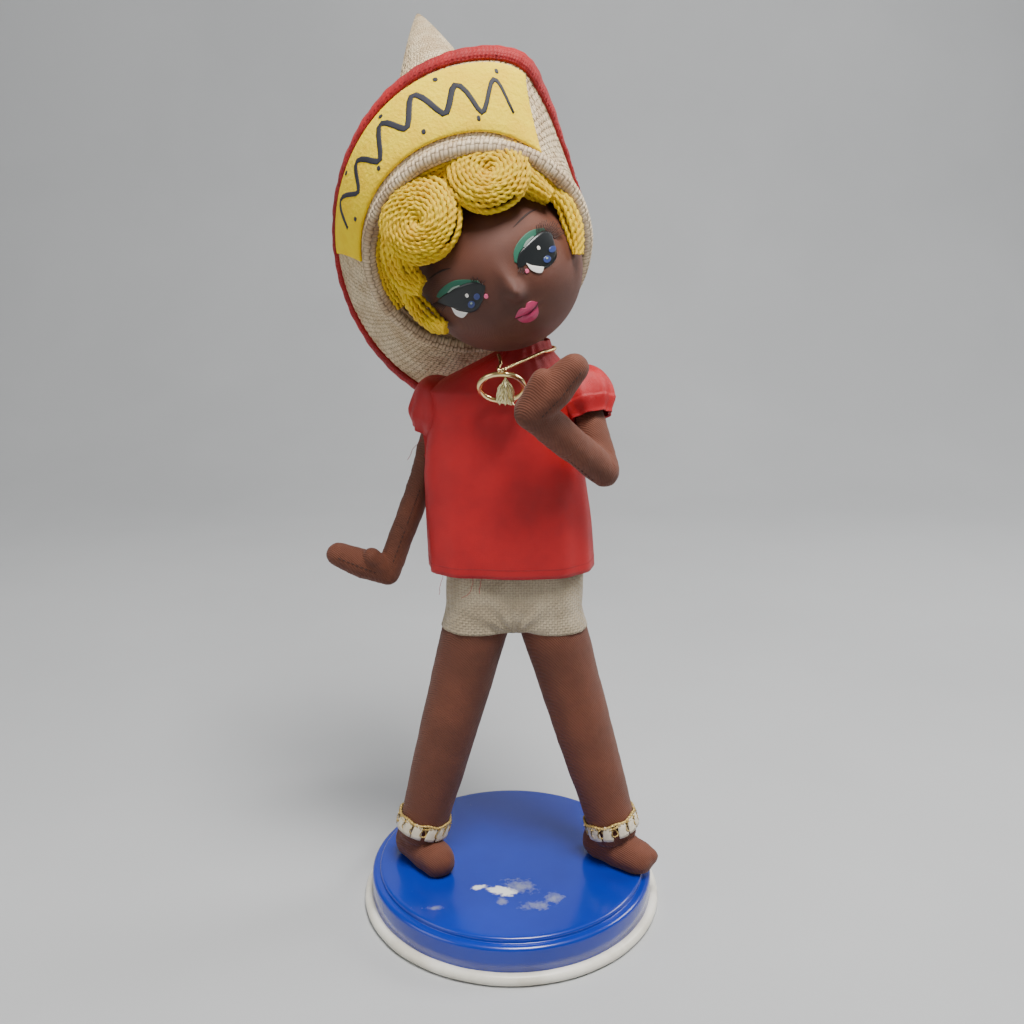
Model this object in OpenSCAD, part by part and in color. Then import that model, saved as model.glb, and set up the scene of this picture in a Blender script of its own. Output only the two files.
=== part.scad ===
// Souvenir pose doll on a round tin stand: stuffed stockinette limbs over bending wires,
// a pressed mask face, wool hair, a turned-back straw hat, a satin blouse and linen shorts.
// X runs to the right seen from the front, Y to the back, Z up, with the origin at the
// middle of the stand's underside. Left and right in names are the doll's own.

/* [Stand] */
// Outer diameter of the white beading around the foot of the stand
stand_d = 110; // [104:1:150]
// Height of the deck that the doll stands on
deck_h = 15; // [12:0.5:24]
// Thickness of the tin sheet
tin_t = 0.8; // [0.5:0.1:1.2]
// Thickness of the beading's round section
bead_d = 4.2; // [3.6:0.1:6]
// Thickness of the card that closes the underside
card_t = 1.5; // [1:0.1:3]
// Width of the wooden anchor block under the deck
block_w = 18; // [12:1:30]

/* [Legs] */
// Height of the hips, where the leg cones end inside the shorts
hip_h = 110; // [95:1:130]
// Distance between the two hip points
hip_gap = 26; // [25:1:30]
// Where the doll's right leg wire meets the deck, left of the middle
right_foot_x = 36.6; // [30:0.2:40]
// Where the doll's left leg wire meets the deck, right of the middle
left_foot_x = 41.6; // [30:0.2:44]
// Radius of a leg at the hip
leg_top_r = 11.3; // [9:0.1:12]
// Radius of a leg at the ankle
ankle_r = 8.4; // [6:0.1:9]
// Length of a foot from heel to toe
foot_l = 31; // [26:0.5:36]
// Radius of the leg wires
leg_wire_r = 1; // [0.6:0.1:1.4]

/* [Body] */
// Height of the torso from the waist to the neck's pivot
torso_h = 66; // [55:1:85]
// Width of the blouse at the hem
blouse_w = 58; // [56:0.5:64]
// Depth of the blouse, front to back
blouse_d = 31; // [30:0.5:36]
// Length of the blouse below the waist pivot
blouse_drop = 11; // [6:0.5:16]
// Thickness of the blouse cloth with its lining
cloth_t = 0.8; // [0.5:0.1:1.2]
// Outer radius of a puffed sleeve
sleeve_r = 10; // [8.5:0.1:11]

/* [Arms] */
// Radius of an arm at the elbow
arm_r = 5.1; // [4:0.1:5.4]
// Length of an upper arm
upper_arm_l = 27; // [24:0.5:32]
// Length of a forearm
forearm_l = 37; // [33:0.5:42]
// Length of a mitten hand, wrist to finger tip
hand_l = 23; // [19:0.5:27]
// Radius of the arm wires
arm_wire_r = 0.6; // [0.4:0.1:1]

/* [Head] */
// Radius of the pressed mask face
head_r = 26; // [24:0.2:26.6]
// Tilt of the head towards the doll's right shoulder
head_roll = 32.5; // [20:0.5:33]
// Thickness of the mask
mask_t = 0.9; // [0.6:0.1:1.4]

/* [Hat] */
// Half the width of the hat's opening
opening_w = 34.2; // [34:0.1:38]
// Half the height of the hat's opening
opening_h = 30.5; // [30:0.1:35]
// Half the width of the turned-back brim at its bound edge
brim_w = 51.5; // [48:0.5:54]
// Half the height of the turned-back brim at its bound edge
brim_h = 58.5; // [54:0.5:60]
// Thickness of the woven straw
straw_t = 1.3; // [0.9:0.1:1.8]
// Radius of the roll where the brim turns back
roll_r = 2.3; // [1.8:0.1:2.8]
// Width of the red binding on the brim's edge
binding_w = 4; // [3:0.1:6]

/* [Necklace] */
// Outer diameter of the gilt ring
ring_d = 16; // [12:0.5:18]
// Thickness of the gilt ring's wire
ring_t = 1.8; // [1.2:0.1:2.2]
// Thickness of the twisted gilt cord
cord_t = 1.1; // [0.8:0.1:1.5]

/* [Hidden] */
$fn = 64;

move_gap = 0.35;   // room between two pieces that move past each other
fit_gap = 0.06;    // room between a pin or knob and its socket
seat_gap = 0.05;   // room between two pieces that are fixed together
big = 120;         // larger than any single piece

skin = "#6b3f30";
satin = "#b8262a";
gilt = "#c9a24a";
steel = "#8c9096";
straw = "#d8c9a6";
yarn = "#eec23c";

// ---- points that the pieces share ----
base_r = stand_d / 2;
tin_r = base_r - bead_d + 1.2;                 // outside of the tin skirt
waist = [0, 0, hip_h + 31];
neck_p = [5, -1, waist.z + torso_h];
shoulder_z = neck_p.z - 18;
chest_z = (waist.z + neck_p.z) / 2;
r_shoulder = [-24, 3, shoulder_z - 4];
l_shoulder = [24, -1, shoulder_z + 1];

function unit(v) = v / norm(v);
function lerp(a, b, t) = a + (b - a) * t;

r_elbow = r_shoulder + upper_arm_l * unit([-7, 5, -26]);
r_wrist = r_elbow + forearm_l * unit([-12.5, -1, -33]);
r_tip = r_wrist + (hand_l - 4.2) * unit([-17, -3, 8]);
l_elbow = l_shoulder + upper_arm_l * unit([6, -12, -22]);
l_wrist = l_elbow + forearm_l * unit([-22.5, -16, 21.5]);
l_tip = l_wrist + (hand_l - 4.2) * unit([9.5, -2, 10.5]);

r_deck = [-right_foot_x, -2, deck_h];
l_deck = [left_foot_x, -2, deck_h];
r_hip = [-hip_gap / 2 + 1, 0, hip_h];
l_hip = [hip_gap / 2 + 1, 0, hip_h];
ankle_z = deck_h + 12.5;
function at_z(p, q, z) = lerp(p, q, (z - p.z) / (q.z - p.z));
r_ankle = at_z(r_deck, r_hip, ankle_z);
l_ankle = at_z(l_deck, l_hip, ankle_z);

head_c = neck_p + [-8.5, -6.5, 24.6];          // middle of the ball head

// ---- general shapes ----
module rod(p, q, ra, rb) {
    v = q - p;
    translate(p) rotate([0, acos(v.z / norm(v)), atan2(v.y, v.x)])
        cylinder(h = norm(v), r1 = ra, r2 = rb);
}

// everything further along dir than gap from p
module beyond(p, dir, gap) {
    translate(p) rotate([0, acos(dir.z / norm(dir)), atan2(dir.y, dir.x)])
        translate([-big / 2, -big / 2, gap]) cube(big);
}

module ball(p, r) { translate(p) sphere(r = r); }

// cloth, straw and padding have no bores that anything turns in, so each is one plain mesh
module one_mesh() { resize([0, 0, 0]) children(); }

// a closed solid through a stack of rings, with a flat cap at each end
module loft(rings) {
    n = len(rings[0]);
    m = len(rings);
    polyhedron(points = [for (ring = rings) each ring],
        faces = [[for (j = [0:n - 1]) j],
            for (i = [0:m - 2], j = [0:n - 1]) let (l = (j + 1) % n)
                each [[(i + 1) * n + j, (i + 1) * n + l, i * n + l], [(i + 1) * n + j, i * n + l, i * n + j]],
            [for (j = [n - 1:-1:0]) (m - 1) * n + j]]);
}

// a closed hoop: sections in a loop, each the same number of points
module hoop(sections) {
    n = len(sections[0]);
    m = len(sections);
    polyhedron(points = [for (s = sections) each s],
        faces = [for (i = [0:m - 1], j = [0:n - 1]) let (k = (i + 1) % m, l = (j + 1) % n)
            each [[i * n + j, k * n + l, i * n + l], [i * n + j, k * n + j, k * n + l]]]);
}

// ---- the stand ----
shoulder_drop = 1.8;   // the step around the deck
shoulder_in = 2.9;
function cap_outline(d) = [[0, deck_h - d], [tin_r - shoulder_in - 0.6 - d, deck_h - d],
    [tin_r - shoulder_in - d, deck_h - 0.3 - d], [tin_r - shoulder_in + 0.3 - d, deck_h - 1 - d],
    [tin_r - 1.6 - d, deck_h - shoulder_drop + 0.2 - d], [tin_r - 0.6 - d, deck_h - shoulder_drop - 0.4 - d],
    [tin_r - d, deck_h - shoulder_drop - 1.6 - d]];

module leg_bores(r) {
    for (leg = [[r_deck, r_hip], [l_deck, l_hip]])
        rod(at_z(leg[0], leg[1], 0), at_z(leg[0], leg[1], hip_h + 15), r, r);
}

module base_cap() {
    color("#1746b8") difference() {
        rotate_extrude() polygon(concat(cap_outline(0), [[tin_r, 1.6], [tin_r - tin_t, 1.6]],
            [for (i = [6:-1:0]) cap_outline(tin_t)[i]]));
        leg_bores(leg_wire_r + seat_gap);
    }
}

module rim_beading() {
    color("#eceae0") rotate_extrude() difference() {
        translate([base_r - bead_d / 2, bead_d / 2]) circle(d = bead_d, $fn = 40);
        translate([tin_r - tin_t - seat_gap, 1.6 - seat_gap])
            square([tin_t + 2 * seat_gap, bead_d]);
        translate([0, -1]) square([tin_r - tin_t - seat_gap, bead_d + 2]);
    }
}

module base_card() {
    color("#9a958c") cylinder(r = tin_r - tin_t - 0.2, h = card_t, $fn = 96);
}

module anchor_block() {
    block_l = 2 * (tin_r - tin_t - 6);
    color("#c49a62") difference() {
        translate([-block_l / 2, -2 - block_w / 2, card_t + seat_gap])
            cube([block_l, block_w, deck_h - tin_t - card_t - 2 * seat_gap]);
        leg_bores(leg_wire_r + seat_gap);
    }
}

// ---- legs and feet ----
module leg_wire(deck, hip) {
    color(steel) rod(at_z(deck, hip, card_t + 1.5), at_z(deck, hip, hip_h + 14), leg_wire_r, leg_wire_r);
}

module leg(deck, hip, ankle) {
    color(skin) difference() {
        rod(ankle, hip, ankle_r, leg_top_r);
        leg_bores(leg_wire_r + seat_gap);
    }
}

toe_r = 6.6;
heel_r = 8;
module foot(ankle, dir) {
    heel = [ankle.x, ankle.y, deck_h + 5.5] - 5.5 * dir;
    toe = heel + (foot_l - heel_r - toe_r) * dir + [0, 0, -0.6];
    color(skin) difference() {
        one_mesh() union() {
            hull() {
                ball(heel, heel_r, $fn = 32);
                ball(toe, toe_r, $fn = 32);
            }
            hull() {
                ball(heel, heel_r - 0.5, $fn = 32);
                translate(ankle - [0, 0, 1.6]) cylinder(r = ankle_r - 0.4, h = 1, $fn = 32);
                ball(lerp(heel, toe, 0.55), toe_r, $fn = 32);
            }
        }
        translate([-big, -big, deck_h - 2 * big]) cube(2 * big);
        beyond(ankle, r_hip.x < 0 && ankle.x < 0 ? r_hip - r_deck : l_hip - l_deck, -seat_gap);
        leg_bores(leg_wire_r + seat_gap);
    }
}
right_foot_dir = unit([17, -23, 0]);
left_foot_dir = unit([18, -15, 0]);

tab_n = 12;
module anklet(deck, hip, ankle) {
    v = hip - deck;
    band_at = 4.2;                        // above the ankle, along the leg
    r_in = ankle_r + (leg_top_r - ankle_r) * (band_at + 2.4) / norm(hip - ankle) + seat_gap;
    color("#e8dfc4") translate(ankle) rotate([0, acos(v.z / norm(v)), atan2(v.y, v.x)]) {
        translate([0, 0, band_at]) rotate_extrude()
            translate([r_in, 0]) square([1.1, 2.4]);
        for (i = [0:tab_n - 1]) rotate([0, 0, i * 360 / tab_n])
            translate([r_in + 0.1, -1.6, band_at - 4]) cube([0.9, 3.2, 4.5]);
    }
}

// ---- hips and shorts ----
hip_rows = [[hip_h - 1.5, 21, 10.8], [hip_h + 4, 22.6, 11.6], [hip_h + 14, 22.6, 12],
    [hip_h + 22, 20.8, 11.2], [hip_h + 28, 18, 9.6]];
function oval(row, grow, n = 32) = [for (i = [0:n - 1]) let (a = i * 360 / n)
    [1 + (row[1] + grow) * cos(a), (row[2] + grow) * sin(a), row[0]]];

module leg_shape(grow, past = 0) {
    for (leg = [[r_ankle, r_hip], [l_ankle, l_hip]])
        rod(leg[0], leg[1] + past * unit(leg[1] - leg[0]), ankle_r + grow, leg_top_r + grow);
}

module hip_pad() {
    color("#b5a68c") one_mesh() difference() {
        loft([for (row = hip_rows) oval(row, 0)]);
        leg_shape(seat_gap, $fn = 40);
        leg_bores(leg_wire_r + seat_gap, $fn = 16);
    }
}

shorts_hem = hip_h - 2.6;
module shorts() {
    linen_t = 0.9;
    color("#b9ab8e") one_mesh($fn = 40) difference() {
        union() {
            loft([for (row = hip_rows) oval(row + [row[0] > hip_h + 25 ? 3 : 0, 0, 0], linen_t + seat_gap)]);
            intersection() {
                leg_shape(linen_t + seat_gap);
                translate([-big / 2, -big / 2, shorts_hem]) cube([big, big, 13]);
            }
        }
        loft([for (row = concat([[hip_h - 6, 20, 10.4]], hip_rows, [[hip_h + 40, 18, 9.6]]))
            oval(row, 2 * seat_gap)]);
        leg_shape(2 * seat_gap, 0.7);
    }
}

// ---- torso and blouse ----
torso_rows = [[waist.z + 1.2, 16, 8.5, 0], [waist.z + 8, 17.5, 10, 0], [chest_z - 5, 18, 11, 0],
    [neck_p.z - 22, 18, 11, 1], [neck_p.z - 12, 14, 9, 2.5], [neck_p.z - 6, 9, 7, 4]];

module torso_pad() {
    color("#b5a68c") one_mesh($fn = 32) difference() {
        loft([for (row = torso_rows)
            [for (p = oval(row, 0)) p + [row[3] - 1.5, neck_p.y * (row[0] - waist.z) / torso_h, 0]]]);
        ball(r_shoulder, sleeve_r + move_gap);
        ball(l_shoulder, sleeve_r + move_gap);
        ball(neck_p, neck_r + move_gap);
        rod(neck_p - [0, 0, swivel_l + 0.5], neck_p, swivel_r + fit_gap, swivel_r + fit_gap);
        rod(spine_p, spine_q, arm_wire_r + seat_gap + 0.4, arm_wire_r + seat_gap + 0.4);
        rod(r_shoulder, l_shoulder, arm_wire_r + seat_gap, arm_wire_r + seat_gap);
    }
}
spine_p = [waist.x, waist.y, waist.z + 2];
spine_q = neck_p - [0, 0, 17.5];
module spine_wire() {
    color(steel) rod(spine_p, spine_q - 2.3 * unit(spine_q - spine_p), arm_wire_r + 0.4, arm_wire_r + 0.4);
}

// one row of the blouse: height, left and right reach, front and back reach
blouse_r = blouse_w / 2;
blouse_front = blouse_d * 0.52;
blouse_back = blouse_d * 0.45;
blouse_rows = [
    [waist.z - blouse_drop, blouse_r, blouse_r - 0.6, blouse_front, blouse_back],
    [waist.z + 6, blouse_r + 0.6, blouse_r - 1.8, blouse_front - 0.4, blouse_back],
    [chest_z - 11, blouse_r + 1, blouse_r - 4, blouse_front - 1, blouse_back - 0.4],
    [neck_p.z - 32, blouse_r - 0.5, blouse_r - 8, blouse_front - 1.4, blouse_back - 0.8],
    [neck_p.z - 20, blouse_r - 6, blouse_r - 9, blouse_front - 2.2, blouse_back - 1.6],
    [neck_p.z - 10, 18, 18, 12, 10.5],
    [neck_p.z - 3, 8.5, 15, 10, 9]];
function blouse_ring(row, d, n = 36) = [for (i = [0:n - 1]) let (a = i * 360 / n,
    c = cos(a), s = sin(a),
    x = (c < 0 ? row[1] - d : row[2] - d) * sign(c) * pow(abs(c), 0.8),
    tuck = s > 0 && c < 0 ? 1 + 0.4 * c : 1)
    [x, (s < 0 ? row[3] - d : (row[4] - d) * tuck) * sign(s) * pow(abs(s), 0.85), row[0]]];

// the cloth is pushed in where the hanging arm lies against it
module arm_dent(grow) {
    r = arm_r + move_gap + 0.15 + grow;
    rod(r_shoulder, r_elbow, r, r);
    ball(r_elbow, r + 0.8);
}

module blouse() {
    color(satin) one_mesh($fn = 32) difference() {
        difference() {
            loft([for (row = blouse_rows) blouse_ring(row, 0)]);
            arm_dent(0);
        }
        difference() {
            loft([for (i = [0:len(blouse_rows) - 1]) let (row = blouse_rows[i])
                blouse_ring(row + [i == 0 ? -1 : i == 6 ? 1 : 0, 0, 0, 0, 0], cloth_t)]);
            arm_dent(cloth_t);
        }
        ball(r_shoulder, sleeve_r + move_gap);
        ball(l_shoulder, sleeve_r + move_gap);
        ball(neck_p, neck_r + 2);
        translate([blouse_r - 6, -0.4, waist.z - blouse_drop - 1]) cube([12, 0.8, 9]);
    }
}

// ---- necklace ----
collar_front = [neck_p + [-9, -9.5, -2.5], neck_p + [6, -9.5, -1.2]];
ring_c = [neck_p.x - 8, -20.5, neck_p.z - 11.5];
ring_tilt = 45;
module neck_cord() {
    r = neck_r + 2.6;
    color(gilt) translate(neck_p + [0, 0, -1.4]) difference() {
        rotate_extrude() translate([r, 0]) circle(d = cord_t);
        translate([-big / 2, -big, -big / 2]) cube([big, big - 3, big]);
    }
}
module pendant_cord() {
    top = ring_c + (ring_d / 2 + cord_t / 2 + 0.15) * [0, -sin(ring_tilt), cos(ring_tilt)];
    color(gilt) for (k = [0, 1]) {
        rod(collar_front[k], top + [k * 2 - 1, 0, 0.6], cord_t / 2, cord_t / 2);
        ball(collar_front[k], cord_t / 2);
    }
}
module pendant_ring() {
    color(gilt) translate(ring_c) rotate([90 - ring_tilt, 0, 0])
        rotate_extrude() translate([(ring_d - ring_t) / 2, 0]) circle(d = ring_t);
}
module pendant_tassel() {
    color(gilt) difference() {
        union() {
            rod(ring_c + [1.6, -4.2, 3.2], ring_c + [1.6, -2.2, -3.4], 1.1, 3);
            ball(ring_c + [1.6, -4.2, 3.2], 1.6);
        }
        translate(ring_c) rotate([90 - ring_tilt, 0, 0]) rotate_extrude()
            translate([(ring_d - ring_t) / 2, 0]) circle(d = ring_t + 0.4);
    }
}

// ---- arms ----
knob_r = 2.2;          // ball on the end of the shoulder wire
module shoulder_wire() {
    color(steel) {
        rod(r_shoulder, l_shoulder, arm_wire_r, arm_wire_r);
        ball(r_shoulder, knob_r);
        ball(l_shoulder, knob_r);
    }
}

// the plane that halves the corner a-p-b, as its normal towards a
function halving(a, p, b) = unit(unit(a - p) - unit(b - p));

module wire_bore(p, q) { rod(p, q, arm_wire_r + seat_gap, arm_wire_r + seat_gap); }

module upper_arm(shoulder, elbow, wrist, side) {
    n = halving(shoulder, elbow, wrist);
    color(skin) difference() {
        union() {
            rod(shoulder, elbow, arm_r - 0.2, arm_r);
            ball(shoulder, arm_r + 0.2);
        }
        ball(shoulder, knob_r + fit_gap);
        translate(shoulder) rotate([0, -75 * side, 0]) cylinder(h = 12, r1 = 1, r2 = 12);
        ball(elbow, arm_r + move_gap);
        beyond(elbow, -n, -move_gap / 2);
        if (side < 0) beyond(elbow, unit(elbow - shoulder), -3.6);
        wire_bore(lerp(shoulder, elbow, 0.25), elbow);
    }
}

module sleeve(shoulder, elbow, side) {
    down = unit(elbow - shoulder);
    color(satin) difference() {
        ball(shoulder, sleeve_r);
        ball(shoulder, sleeve_r - cloth_t);
        beyond(shoulder, down, sleeve_r * 0.62);
        beyond(shoulder, [-side, 0, -0.2], sleeve_r * 0.1);
        rod(shoulder, elbow, arm_r + 0.2, arm_r + 0.2);
    }
}

module arm_wire(p, q, a, b) { color(steel) rod(lerp(p, q, a), lerp(p, q, b), arm_wire_r, arm_wire_r); }

module forearm(shoulder, elbow, wrist, tip) {
    color(skin) difference() {
        union() {
            difference() {
                rod(elbow, wrist, arm_r + 0.3, arm_r);
                beyond(elbow, halving(shoulder, elbow, wrist), -move_gap / 2);
            }
            ball(elbow, arm_r);
        }
        ball(wrist, arm_r + move_gap);
        beyond(wrist, -halving(elbow, wrist, tip), -move_gap / 2);
        wire_bore(lerp(elbow, wrist, 0.1), wrist);
    }
}

palm_r = 5.6;
tip_r = 4.2;
module hand(elbow, wrist, tip) {
    color(skin) union() {
        difference() {
            hull() {
                ball(wrist, arm_r - 0.2, $fn = 32);
                ball(lerp(wrist, tip, 0.5), palm_r, $fn = 32);
                ball(tip, tip_r, $fn = 32);
            }
            beyond(wrist, halving(elbow, wrist, tip), -move_gap / 2);
        }
        ball(wrist, arm_r);
    }
}

// ---- head, in its own tilted frame: x to the right, y back, z up the face ----
neck_r = 6.6;
swivel_r = 1.5;
swivel_l = 14;
neck_knob_r = 3.6;
module on_head() { translate(head_c) rotate([0, -head_roll, 0]) children(); }

module neck_swivel() {
    color("#c49a62") {
        ball(neck_p, neck_knob_r);
        rod(neck_p - [0, 0, swivel_l], neck_p, swivel_r, swivel_r);
    }
}

module neck() {
    color(skin) difference() {
        union() {
            rod(neck_p, lerp(neck_p, head_c, 0.6), neck_r, neck_r);
            ball(neck_p, neck_r);
        }
        ball(neck_p, neck_knob_r + fit_gap);
        beyond(neck_p, neck_p - head_c, 1.2);
        ball(head_c, head_r + seat_gap);
        beyond(neck_p, [0, 0, -1], 1);
    }
}

core_r = head_r - mask_t;
hat_out = unit([-0.1, 1, 0.62]);       // square to the hat's opening, towards its tip
// the room inside the hat, with the space in front of its opening
module inside_hat() {
    front = crown_ring(0, roll_r + straw_t + 0.3);
    loft([for (ring = concat([[for (p = front) p - 60 * hat_out]],
        [for (s = [0, 0.1, 0.2, 0.35, 0.5]) crown_ring(s, roll_r + straw_t + 0.3)])) ring]);
}

module head_core() {
    color("#d9c7a0") one_mesh($fn = 36) difference() {
        intersection() {
            ball(head_c, core_r - 0.2);
            ball(head_c - [0, 8, 0], core_r + 1);
            inside_hat();
        }
        ball(neck_p, neck_r + 0.3);
    }
}

module face_mask() {
    color(skin) one_mesh($fn = 44) difference() {
        union() {
            ball(head_c, head_r);
            on_head() rotate([-100, 0, 0]) translate([1, 0, head_r - 3])
                cylinder(h = 5.6, r1 = 5.5, r2 = 1.2);
        }
        ball(head_c, core_r);
        translate([head_c.x - big / 2, head_c.y + 3, head_c.z - big / 2]) cube(big);
        beyond(hat_c, hat_out, -roll_r - 0.3);
        ball(neck_p, neck_r + 0.3);
        translate(neck_p - [0, 0, 4]) cylinder(h = 3.5, r = neck_r + 3.6);
    }
}

// all but the room inside the hat, in the head's own frame
module outside_hat() {
    rotate([0, head_roll, 0]) translate(-head_c) difference() {
        translate(head_c - [90, 90, 90]) cube(180);
        inside_hat();
    }
}

// a flat coil of wool in front of the brow, leaning back
module curl(x, y, z, r, lean) {
    translate([x, y, z]) rotate([90 - lean, 0, x * 0.8]) cylinder(h = 4.6, r = r, center = true);
}
module hair_curls() {
    color(yarn) one_mesh($fn = 28) on_head() difference() {
        union() {
            curl(-11, -18.5, 26, 11, 25);
            curl(12.5, -18, 26, 10.5, 25);
        }
        sphere(r = head_r + 0.6);
        outside_hat();
    }
}
module hair_locks() {
    color(yarn) one_mesh($fn = 24) on_head() difference() {
        union() {
            curl(-24.5, -12, 13, 5.5, 10);
            curl(-26.5, -7, 3, 4.5, 0);
            curl(24, -12, 16, 5, 10);
            curl(26.5, -7, 5, 4.5, 0);
        }
        sphere(r = head_r + 0.6);
        outside_hat();
    }
}

// ---- hat: rings in the front view, leaning back with height ----
hat_c = head_c + [-7, -1.5, 4.6];
crown_tip = head_c + [-29.5, 62.5, 84];
opening_turn = 20;
function fold_at(t, d = 0) = let (
    u = (opening_w - d) * cos(t), v = (opening_h - d) * sin(t),
    x = u * cos(opening_turn) - v * sin(opening_turn),
    z = u * sin(opening_turn) + v * cos(opening_turn))
    hat_c + [x, 0.1 * x - 0.62 * z, z];

function ramp(a, b, t) = let (k = max(0, min(1, (t - a) / (b - a)))) k * k * (3 - 2 * k);
// the brim is pressed flat against the crown on the doll's left
function press_x(t) = t < 180 ? 0.58 + 0.42 * ramp(60, 100, t)
    : 1 - 0.6 * ramp(240, 320, t) + 0.18 * ramp(320, 360, t);
function press_z(t) = t < 180 ? 0.6 + 0.4 * ramp(20, 70, t) : 1 - 0.45 * ramp(240, 330, t);
function edge_at(t) = let (x = brim_w * press_x(t) * cos(t), z = brim_h * press_z(t) * sin(t))
    head_c + [x - 2.5, 17.5 - 0.4 * z, z + 5.4];

function brim_mid(t, s) = let (a = fold_at(t), b = edge_at(t), out = unit(a - hat_c))
    lerp(a, b, s) + sin(180 * s) * (2.2 * out - [0, 0.8, 0]);
function brim_normal(t, s) = let (
    du = brim_mid(t + 1, s) - brim_mid(t - 1, s), dv = brim_mid(t, s + 0.02) - brim_mid(t, s - 0.02))
    unit(cross(dv, du));
// a point on the brim, off its middle surface towards the front
function brim_at(t, s, off) = brim_mid(t, s) + off * brim_normal(t, s);

hat_n = 44;
function axis_at(s) = lerp(hat_c, crown_tip, s);
function crown_ring(s, d) = [for (i = [0:hat_n - 1]) let (
    p = fold_at(-i * 360 / hat_n) - hat_c, k = 0.08 + 0.92 * pow(1 - s, 0.85),
    q = p * k, l = norm(q))
    axis_at(s) + q * max(0.5 / norm(p), l - d) / max(l, 0.001)];

module hat_crown() {
    color(straw) one_mesh() difference() {
        loft([for (s = [0.02, 0.1, 0.2, 0.35, 0.5, 0.65, 0.8, 0.9, 0.96, 0.99])
            crown_ring(s, roll_r + seat_gap)]);
        loft([for (s = [0.0, 0.1, 0.2, 0.35, 0.5, 0.65, 0.8, 0.9, 0.93])
            crown_ring(s, roll_r + straw_t + seat_gap)]);
    }
}

brim_end = 0.93;
module hat_brim() {
    sections = [for (i = [0:hat_n - 1]) let (t = i * 360 / hat_n)
        concat([for (s = [0:0.155:brim_end + 0.01]) brim_at(t, s, straw_t / 2)],
            [for (s = [brim_end:-0.155:-0.01]) brim_at(t, s, -straw_t / 2)])];
    roll = [for (i = [0:hat_n - 1]) let (t = i * 360 / hat_n, p = fold_at(t), out = unit(p - hat_c))
        [for (j = [0:9]) p + roll_r * (cos(j * 36) * out + sin(j * 36) * [0.1, 0.85, 0.53])]];
    color(straw) one_mesh() union() {
        hoop(sections);
        hoop(roll);
    }
}

module hat_binding() {
    wrap = straw_t / 2 + 0.45;
    w = binding_w / 30;
    color("#b0202a") hoop([for (i = [0:hat_n - 1]) let (t = i * 360 / hat_n)
        [brim_at(t, brim_end - w + 0.05, wrap), brim_at(t, brim_end - w + 0.05, wrap + 0.6),
         brim_at(t, 1, wrap + 0.5), brim_at(t, 1.025, 0), brim_at(t, 1, -wrap - 0.5),
         brim_at(t, brim_end - w + 0.05, -wrap - 0.6), brim_at(t, brim_end - w + 0.05, -wrap),
         brim_at(t, brim_end + 0.01, -wrap), brim_at(t, brim_end + 0.01, wrap)]]);
}

module hat_patch() {
    n = 24;
    gap = straw_t / 2 + 0.3;
    felt_t = 0.9;
    low = 0.13;
    high = 0.8;
    // both ends slant, from these turns at the roll to these at the bound edge
    function turn(i, s) = lerp(lerp(42, 68, s), lerp(166, 178, s), i / n);
    color("#f0cf4e") one_mesh() loft([for (i = [0:n])
        concat([for (s = [0:0.25:1]) brim_at(turn(i, s), lerp(low, high, s), gap + felt_t)],
            [for (s = [1:-0.25:0]) brim_at(turn(i, s), lerp(low, high, s), gap)])]);
}

base_cap();
rim_beading();
base_card();
anchor_block();
leg_wire(r_deck, r_hip);  // right_leg_wire
leg_wire(l_deck, l_hip);  // left_leg_wire
leg(r_deck, r_hip, r_ankle);  // right_leg
leg(l_deck, l_hip, l_ankle);  // left_leg
foot(r_ankle, right_foot_dir);  // right_foot
foot(l_ankle, left_foot_dir);  // left_foot
anklet(r_deck, r_hip, r_ankle);  // right_anklet
anklet(l_deck, l_hip, l_ankle);  // left_anklet
hip_pad();
shorts();
torso_pad();
blouse();
spine_wire();
shoulder_wire();
neck_cord();
pendant_cord();
pendant_ring();
pendant_tassel();
upper_arm(r_shoulder, r_elbow, r_wrist, -1);  // right_upper_arm
sleeve(r_shoulder, r_elbow, -1);  // right_sleeve
arm_wire(r_shoulder, r_elbow, 0.3, 0.75);  // right_upper_wire
forearm(r_shoulder, r_elbow, r_wrist, r_tip);  // right_forearm
arm_wire(r_elbow, r_wrist, 0.12, 0.8);  // right_fore_wire
hand(r_elbow, r_wrist, r_tip);  // right_hand
upper_arm(l_shoulder, l_elbow, l_wrist, 1);  // left_upper_arm
sleeve(l_shoulder, l_elbow, 1);  // left_sleeve
arm_wire(l_shoulder, l_elbow, 0.3, 0.75);  // left_upper_wire
forearm(l_shoulder, l_elbow, l_wrist, l_tip);  // left_forearm
arm_wire(l_elbow, l_wrist, 0.12, 0.8);  // left_fore_wire
hand(l_elbow, l_wrist, l_tip);  // left_hand
neck_swivel();
neck();
head_core();
face_mask();
hair_curls();
hair_locks();
hat_crown();
hat_brim();
hat_binding();
hat_patch();
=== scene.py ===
# %% [markdown]
# # A souvenir pose doll on a tin stand
# The doll is cloth over bending wires: knitted tubes filled with wadding for the limbs, a mask
# of fine cloth pressed over a ball for the head, wool hair, a woven straw hat with its brim
# turned back, a satin blouse and linen shorts. It stands on an enamelled tin base. Everything
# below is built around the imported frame, in the same place and at the same size.

# %% Load the frame
import math
import random
import bpy
import bmesh
import numpy as np
from mathutils import Matrix, Vector, noise
from mathutils.bvhtree import BVHTree


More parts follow.
